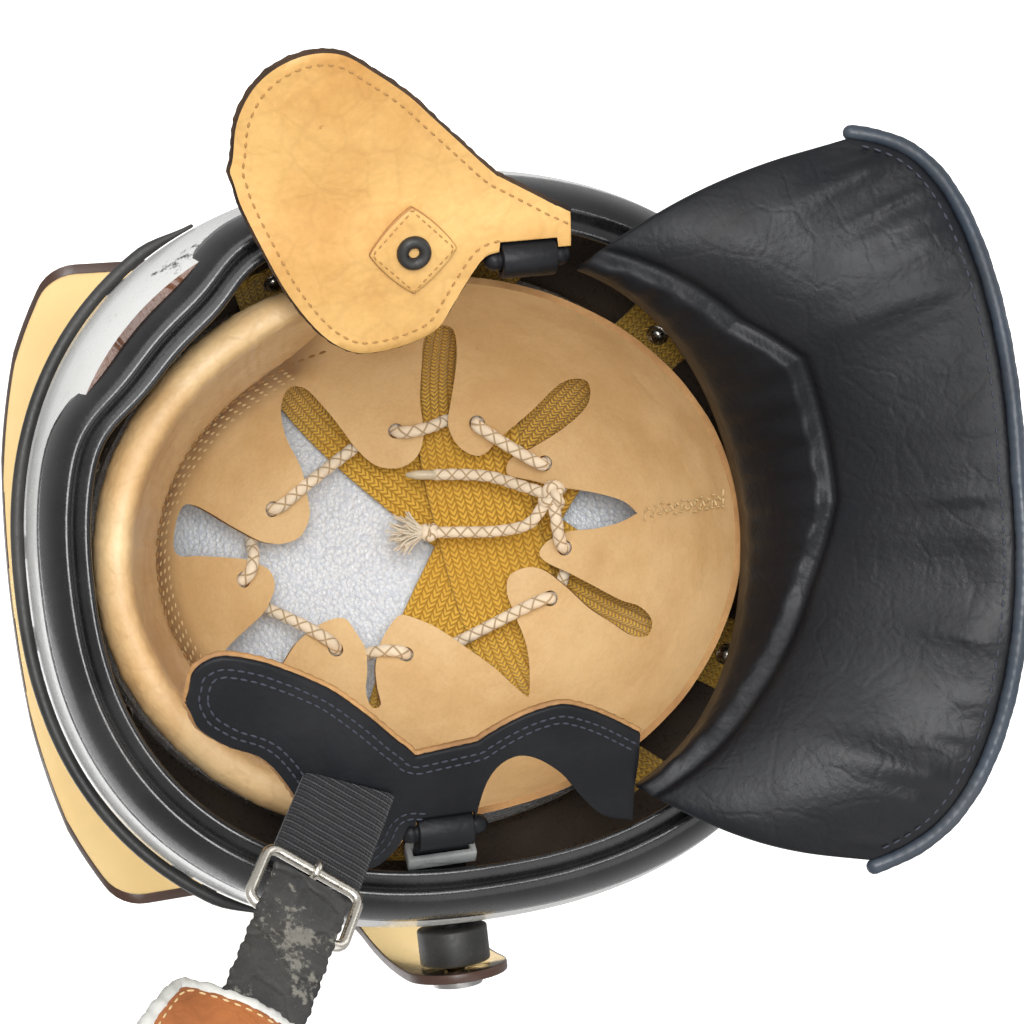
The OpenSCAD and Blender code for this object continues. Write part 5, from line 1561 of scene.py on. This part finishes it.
class OBJECT_OT_helmet_flaps(HelmetOperator, bpy.types.Operator):
    """Ear flaps with black cover, tan lining, sewn edges, patch and eyelet, on their hanger straps"""
    bl_idname = "object.helmet_flaps"
    bl_label = "Ear Flaps"

    def build(self):
        for name in FLAPS:
            flap = Flap(name)
            self.layers(flap)
            self.hem(flap)
            self.sewing(flap)
            self.patch(flap)
            self.eyelet(flap)
            cad_copy(name + "_hanger_strap", name + "_hanging_strap", "black", "helmet", "black_leather", 0.5)
        cad_copy("right_strap_keeper", "keeper_loop", "grey", "helmet", "keeper_leather", 0.7)

    def own(self, flap, name, form, materials, node, slot, angle=60):
        """A piece of one flap, which rides on it and stands for its CAD node."""
        piece(f"{flap.name}_{name}", form, materials, flap.body, [f"{flap.name}_flap_{node}"], slot, angle)

    def layers(self, flap):
        cover = Form()
        cover.slab(flap.grid(0.05), flap.grid(2.0), edge=0.4)
        self.own(flap, "flap_outer", cover, "cover", "cover", "black_leather")
        lining = Form()
        lining.slab(flap.grid(-2.1), flap.grid(-0.1), edge=0.4, marks=(0, 0, 1))
        edge = flap.rim(-0.1, -0.2)
        if flap.side < 0:
            rim, radius, rough = "piping", sizes().piping_radius / MM, self.rough
        else:
            edge = edge + flap.face * (ripple(edge, 5, 1.0) * 0.3)[:, None]
            rim, radius, rough = "raw", 0.7 + 0.25 * ripple(edge, 3.1, 0.4), None
        lining.tube(edge, radius, 10, mark=1, relief=rough)
        self.own(flap, "flap_inner", lining, ["flap", rim], "lining", "lining_leather")

    def rough(self, around, along):
        """Relief of the worn piping."""
        return 0.1 * np.sin(along * 1.7) + 0.06 * np.sin(along * 4.1 + 6.28 * around)

    def hem(self, flap):
        form = Form()
        y = np.linspace(flap.hanger - 1.8, flap.hanger + 17.8, 40)
        radius = 2.9 + 0.1 * np.sin(y * 1.3) + 0.06 * np.sin(y * 3.1)
        form.tube(vec(flap.side * FLAP_X, y, FLAP_Z), radius, 20)
        self.own(flap, "flap_rolled_hem", form, "black", "hem", "black_leather")

    def sewing(self, flap):
        stitches(flap.name + "_flap_inner_stitching", [flap.rim(-2.15, 3.2)], [-flap.face], "tan_thread",
                 flap.body, 1.9, 3.0)
        rows = [flap.rim(2.05, inset) for inset in ((3.0, 5.2) if flap.side < 0 else (3.2,))]
        stitches(flap.name + "_flap_outer_stitching", rows, [flap.face] * len(rows), "black_thread",
                 flap.body, 2.3, 2.7, 0.34)

    def on_patch(self, flap, u, v):
        """Place of a point of the patch, which is a square stood on its corner."""
        half = flap.patch_half
        return flap.patch_y + (u - v) * half * cos(45), flap.patch_q + (u + v) * half * cos(45)

    def patch(self, flap):
        u, v = np.meshgrid(np.linspace(-1, 1, 25), np.linspace(-1, 1, 25))
        pinch = 1 - 0.1 * np.minimum(u * u, v * v)
        y, q = self.on_patch(flap, u * pinch, v * pinch)
        radius = np.hypot(y - flap.patch_y, q - flap.patch_q)
        puff = 0.5 * (1 - np.maximum(np.abs(u), np.abs(v)) ** 4) - 0.35 * np.exp(-((radius - 6) / 2) ** 2)
        top = flap_place(flap.side, flap.angle, y, q, -3.3 - puff + flap.bow(q) * 0.4)
        low = flap_place(flap.side, flap.angle, y, q, -2.0 + flap.bow(q) * 0.9)
        form = Form()
        form.slab(top, low, edge=0.3, marks=(0, 0, 1))
        self.own(flap, "sewn_patch", form, ["flap", "flesh"], "patch", "lining_leather")
        t, one = np.linspace(-0.86, 0.86, 12), np.full(12, 0.86)
        y, q = self.on_patch(flap, np.concatenate([t, one, -t, -one]), np.concatenate([-one, t, one, -t]))
        line = flap_place(flap.side, flap.angle, y, q, -3.45 + flap.bow(q) * 0.4)
        stitches(flap.name + "_patch_stitching", [line], [-flap.face], "tan_thread", flap.body, 1.5, 2.2, 0.3)

    def eyelet(self, flap):
        form = Form()
        turn = np.arange(0, 361, 7.5)[:, None]
        ring = [(1.5, 0.2), (1.7, 1.6), (2.4, 2.3), (3.3, 2.5), (4.3, 2.2), (4.9, 1.4), (5.0, 0.4),
                (4.6, -0.3), (1.5, -0.3)]
        floor = [(1.6, 0.1), (0.9, -0.1), (0.0, -0.2)]
        for mark, profile in enumerate((ring, floor)):
            r, h = np.array(profile).T
            y, q = flap.patch_y + r * cos(turn), flap.patch_q + r * sin(turn)
            form.grid(flap_place(flap.side, flap.angle, y, q, -3.4 - h), mark=mark)
        self.own(flap, "rubber_eyelet", form, ["rubber", "trim"], "eyelet", "black_leather", 50)


STRAP_ROOT = np.array([-63.0, -36.0, -44.0])
STRAP_X = np.array([-0.5935, -0.4472, -0.669])
STRAP_Y = np.array([0.6018, -0.7986, 0.0])
STRAP_Z = np.array([-0.5344, -0.4027, 0.7431])
TAIL_LEVEL = -1.8       # of the tail and the cup, over the webbing's inner face


def strap_pt(x, y, z):
    """A point of the chin strap: along it, across it, and over its outer face."""
    p = vec(x, y, z)
    return STRAP_ROOT + p[..., :1] * STRAP_X + p[..., 1:2] * STRAP_Y + p[..., 2:] * STRAP_Z


class OBJECT_OT_helmet_strap(HelmetOperator, bpy.types.Operator):
    """Chin strap: ribbed webbing, wire buckle and prong, worn leather tail"""
    bl_idname = "object.helmet_strap"
    bl_label = "Chin Strap"
    level = 1.1                     # height of the webbing's middle over its inner face
    web_half, tail_half = 13, 11    # half widths

    def build(self):
        self.webbing()
        self.buckle()
        self.tail()

    def webbing(self):
        pitch = sizes().rib_pitch / MM
        x = np.arange(-10, 28.21, 0.2)[:, None]
        y = np.linspace(-self.web_half, self.web_half, 41)[None]
        rib = 0.35 * np.abs(np.sin(np.pi * x / pitch)) ** 0.8
        thin = 1 - 0.5 * np.abs(y / self.web_half) ** 10
        top = strap_pt(x, y, self.level + (self.level + rib) * thin)
        low = strap_pt(x, y, self.level - (self.level + rib * 0.6) * thin)
        form = Form()
        out = np.array([-0.5, 0, -0.866])

        def cut(p):
            """The webbing starts on a plane outside the folded right flap."""
            gap = 5.6 - (p - np.array([-FLAP_X, 0, FLAP_Z])) @ out
            return p + STRAP_X * (np.maximum(gap, 0) / (STRAP_X @ out))[..., None]

        form.slab(cut(top), cut(low), u=y[0], v=x[:, 0])
        piece("ribbed_chin_webbing", form, "band", "chin_strap", ["chin_strap_webbing"], "strap_webbing", 50)

    def buckle(self):
        corner = np.radians(np.arange(0, 91, 15))
        x0, x1, y1, r = 30.0, 48.0, 14.0, 3.0
        path = []
        corners = ((x1 - r, y1 - r), (x0 + r, y1 - r), (x0 + r, r - y1), (x1 - r, r - y1))
        for (cx, cy), turn in zip(corners, (0, 90, 180, 270)):
            t = corner + np.radians(turn)
            path += [(cx + r * np.cos(v), cy + r * np.sin(v)) for v in t]
        path = np.array(path)
        path = even_path(np.concatenate([path, path[:1]]), 1.2)[:-1]
        form = Form()
        form.tube(strap_pt(path[:, 0], path[:, 1], self.level), 1.5, 16, closed=True)
        piece("wire_buckle", form, "steel", "chin_strap", ["chin_strap_buckle"], "buckle_metal")
        pin = Form()
        t = np.radians(np.arange(150, 480, 15))
        eye = np.column_stack([x0 + 2.5 * np.cos(t), self.level + 2.5 * np.sin(t)])
        x = np.linspace(32, 49.5, 16)
        rest = np.column_stack([x, np.interp(x, [32, 36, 49.5], [3.3, 3.7, 3.6])])
        line = smooth_path(np.concatenate([eye[:-3], rest]), 3)
        taper = np.interp(np.arange(len(line)), [0, len(line)], [1.0, 0.8])
        pin.tube(strap_pt(line[:, 0], 0, line[:, 1]), taper, 12)
        piece("buckle_pin", pin, "steel", "prong", ["buckle_prong"], "buckle_metal")

    def tail(self):
        x = np.linspace(35.8, 77.8, 80)[:, None]
        y = np.linspace(-self.tail_half, self.tail_half, 33)[None]
        worn = ripple(vec(x, y * 4, 3), 9, 0.5)
        narrow = 1 + 0.02 * np.sin(x * 0.9) + 0.015 * np.sin(x * 2.3)
        bend = 0.5 * np.sin(x * 0.16) + 0.4 * (y / self.tail_half) ** 2
        level = TAIL_LEVEL + bend
        thin = 1 - 0.35 * np.abs(y / self.tail_half) ** 6
        top = strap_pt(x, y * narrow, level + (1.05 + worn * 0.12) * thin)
        low = strap_pt(x, y * narrow, level - 1.05 * thin)
        form = Form()
        form.slab(top, low, u=y[0], v=x[:, 0], edge=0.35)
        piece("worn_strap_tail", form, "strap", "chin_strap", ["chin_strap_tail"], "black_leather")


class OBJECT_OT_helmet_cup(HelmetOperator, bpy.types.Operator):
    """Dished chin cup with its brown lining and pale binding"""
    bl_idname = "object.helmet_cup"
    bl_label = "Chin Cup"

    start, long, half, dish = 78.1, 46, 25, 9       # where it begins on the strap, and its sizes

    def place(self, u, v, h):
        """A point of the cup: u across it (-1 to 1), v along it (0 to 1), h inward from its outer face."""
        arch = sin(180 * v)
        return strap_pt(self.start + self.long * v, self.half * u * (0.82 + 0.18 * arch),
                        TAIL_LEVEL - h + self.dish * (0.8 * u * u - 0.35 * arch))

    def layer(self, h):
        u = np.linspace(-0.95, 0.95, 49)[None]
        v = np.linspace(0.03, 0.97, 45)[:, None]
        crease = 0.3 * np.sin(u * 9 + v * 4) * np.sin(v * 7)
        return self.place(u + 0 * v, v + 0 * u, h + crease * 0.6)

    def worn(self, around, along):
        """Relief of the binding."""
        return 0.08 * np.sin(along * 1.1) + 0.06 * np.sin(along * 2.9)

    def build(self):
        for name, node, material, low, high, slot in (
                ("cup_outer_leather", "chin_cup_leather", "grey", -2.4, 0.0, "cup_leather"),
                ("cup_brown_lining", "chin_cup_lining", "cup_brown", 0.1, 1.9, "cup_brown")):
            form = Form()
            form.slab(self.layer(low), self.layer(high), edge=0.3)
            piece(name, form, material, "chin_cup", [node], slot)
        s = np.linspace(-1, 1, 40)[:-1]
        t = (s + 1) / 2
        sides = (s, 0 * s), (0 * s + 1, t), (-s, 0 * s + 1), (0 * s - 1, 1 - t)
        loop = np.concatenate([np.column_stack(side) for side in sides])
        edge = self.place(loop[:, 0] * 0.975, 0.5 + (loop[:, 1] - 0.5) * 0.975, -0.25)
        soft = (np.roll(edge, 1, 0) + edge * 2 + np.roll(edge, -1, 0)) / 4
        form = Form()
        form.tube(soft, 2.5, 12, closed=True, relief=self.worn)
        piece("cup_pale_binding", form, "cup_edge", "chin_cup", ["chin_cup_binding"], "cup_edge")
        sewn = [self.place(loop[:, 0] * 0.9, 0.5 + (loop[:, 1] - 0.5) * 0.88, h) for h in (2.0, -2.45)]
        stitches("cup_stitching", sewn, [-STRAP_Z, STRAP_Z], "pale_thread", "chin_cup", 2.0, 3.0, 0.3)


class OBJECT_OT_helmet_guard(HelmetOperator, bpy.types.Operator):
    """Padded black leather neck guard, gathered along its stitched hem"""
    bl_idname = "object.helmet_guard"
    bl_label = "Neck Guard"

    wide, deep = 330, 110       # of the leather laid flat

    def seam(self, s):
        """Where the guard meets the headband, from the right end at -1 to the left one at 1."""
        a = 62 * s
        return vec(85 * sin(a), BAND_Y + 95.1 * cos(a), lerp(-1.2, -30, smooth(np.abs(s) * 1.1 - 0.1)))

    def hem(self, s):
        a = 75 * s
        return vec(106 * sin(a), 101 + 53 * cos(a) + 20 * np.maximum(0, s) ** 1.2, lerp(-70, -56, s * s))

    def middle(self, s, v):
        """Middle of the padding: s runs from the right end to the left one, v from the seam to the hem."""
        dip = 18.2 * sin(180 * v ** 0.55) * (1 - 0.55 * s * s)
        flat = lerp(self.seam(s), self.hem(s), (v ** 1.15)[..., None])
        return flat + vec(6 * s ** 5 * sin(180 * v), 0, -dip)

    def round(self, s):
        """How far down the guard reaches, as its ends are rounded off."""
        return 1 - 0.1 * np.abs(s) ** 8

    def folds(self, s, v, count, reach, width, seed):
        """Soft folds that run in from the hem, uneven in place, length, width and height."""
        height = 0 * s
        for k in range(count):
            place = -0.97 + 1.94 * (k + 0.5 + 0.32 * np.sin(k * 2.4 + seed)) / count
            start = reach + 0.2 * np.sin(k * 1.7 + seed)
            wide = width * (1 + 0.35 * np.sin(k * 3.1 + seed)) * (1.7 - 0.7 * v)
            lean = 0.05 * np.sin(k * 1.3 + seed)
            strong = 0.75 + 0.35 * np.sin(k * 5.3 + seed)
            across = np.exp(-((s - place - lean * (1 - v)) / wide) ** 2)
            height = height + strong * smooth((v - start) / (1 - start)) * across
        return height

    def lip(self, s, v):
        """The strip turned over the headband stands above the padding and ends in a seam."""
        end = np.interp(s, [-1, -0.6, -0.25, 0, 0.42, 0.6, 1], [0.05, 0.13, 0.23, 0.33, 0.33, 0.2, 0.08])
        creases = 0.3 * np.sin(s * 38 + 9 * v) * np.sin(s * 17 + 1) + 0.25 * np.sin(s * 61 + 4 * v)
        valley = 1.3 * np.exp(-((v - end - 0.02) / 0.02) ** 2)
        return (1.9 + creases) * smooth((end - v) / 0.03) * smooth(v / 0.05) - valley

    def build(self):
        s = np.linspace(1, -1, 401)[None]
        v = np.concatenate([np.linspace(0, 0.9, 70), np.linspace(0.9, 1, 12)[1:]])[:, None]
        s, v = s + 0 * v, v + 0 * s
        e = 0.01
        du = self.middle(np.minimum(s + e, 1), v) - self.middle(np.maximum(s - e, -1), v)
        dv = self.middle(s, np.minimum(v + e, 1)) - self.middle(s, np.maximum(v - e, 0))
        n = unit(np.cross(du, dv))
        n = n * (-np.sign(n[..., 2].mean()))
        body = self.middle(s, v * self.round(s))
        thick = 1.6 + 7.4 * np.maximum(sin(180 * v), 0) ** 0.6 * np.sqrt(np.maximum(0, 1 - np.abs(s) ** 6))
        depth = sizes().pleat_depth / MM
        slow = ripple(body, 62, 0.9) * np.maximum(sin(180 * v), 0)
        puckers = 0.4 * self.folds(s, v, 21, 0.62, 0.022, 0.0)
        large = 0.9 * self.folds(s, v, 8, 0.2, 0.055, 2.0)
        fade = np.clip(np.sin(np.pi * np.minimum(v, 0.985)) * 2.4, 0.15, 1)
        gather = depth * (puckers + large - 0.4 * v) * fade
        upper = body - n * (thick / 2 + gather * 0.6)[..., None]
        lower = body + n * (thick / 2 + gather + slow + self.lip(s, v))[..., None]
        form = Form()
        form.slab(upper, lower, u=np.linspace(0, self.wide, 401), v=v[:, 0] * self.deep, edge=0.3)
        obj = piece("neck_guard_padding", form, "black", "neck_guard", ["neck_guard_pad"], "black_leather")
        self.edge()

    def worn(self, around, along):
        """Relief of the rolled hem."""
        return 0.03 * np.sin(along * 0.5) + 0.02 * np.sin(along * 1.9 + 6.28 * around)

    def edge(self):
        s = np.linspace(1, -1, 420)
        rim = self.middle(s, self.round(s))
        t = unit(np.gradient(rim, axis=0))
        d = rim - self.middle(s, self.round(s) - 0.03)
        out = unit(d - t * np.sum(d * t, 1, keepdims=True))
        form = Form()
        form.tube(rim + out * 2.3, 2.2, 16, relief=self.worn)
        piece("neck_guard_rolled_hem", form, "hem", "neck_guard", ["neck_guard_hem"], "black_leather")
        down = unit(np.cross(t, out))
        down = down * np.where(down[:, 2:] > 0, -1, 1)
        line = rim - out * 2.6 + down * 1.9
        stitches("neck_guard_stitching", [line[8:-8]], [down[8:-8]], "black_thread", "neck_guard",
                 2.4, 3.4, 0.36)


OPERATORS = (OBJECT_OT_helmet_stage, OBJECT_OT_helmet_lacing, OBJECT_OT_helmet_shell, OBJECT_OT_helmet_crown,
             OBJECT_OT_helmet_liner, OBJECT_OT_helmet_visor, OBJECT_OT_helmet_flaps, OBJECT_OT_helmet_strap,
             OBJECT_OT_helmet_cup, OBJECT_OT_helmet_guard)


class VIEW3D_PT_helmet(bpy.types.Panel):
    """The helmet's settings and pieces"""
    bl_label = "Riot Helmet"
    bl_space_type = "VIEW_3D"
    bl_region_type = "UI"
    bl_category = "Riot Helmet"

    def draw(self, context):
        for group in (context.scene.helmet_sizes, context.scene.helmet_colours):
            box = self.layout.box()
            for key in group.bl_rna.properties.keys():
                if key not in ("rna_type", "name"):
                    box.prop(group, key)
        for operator in OPERATORS:
            self.layout.operator(operator.bl_idname)


CLASSES = (HelmetSizes, HelmetColours) + OPERATORS + (VIEW3D_PT_helmet,)


def register():
    for cls in CLASSES:
        bpy.utils.register_class(cls)
    bpy.types.Scene.helmet_sizes = PointerProperty(type=HelmetSizes)
    bpy.types.Scene.helmet_colours = PointerProperty(type=HelmetColours)


def unregister():
    del bpy.types.Scene.helmet_sizes
    del bpy.types.Scene.helmet_colours
    for cls in reversed(CLASSES):
        bpy.utils.unregister_class(cls)


def main():
    register()
    for operator in OPERATORS:
        group, name = operator.bl_idname.split(".")
        getattr(getattr(bpy.ops, group), name)()


if __name__ == "__main__":
    main()
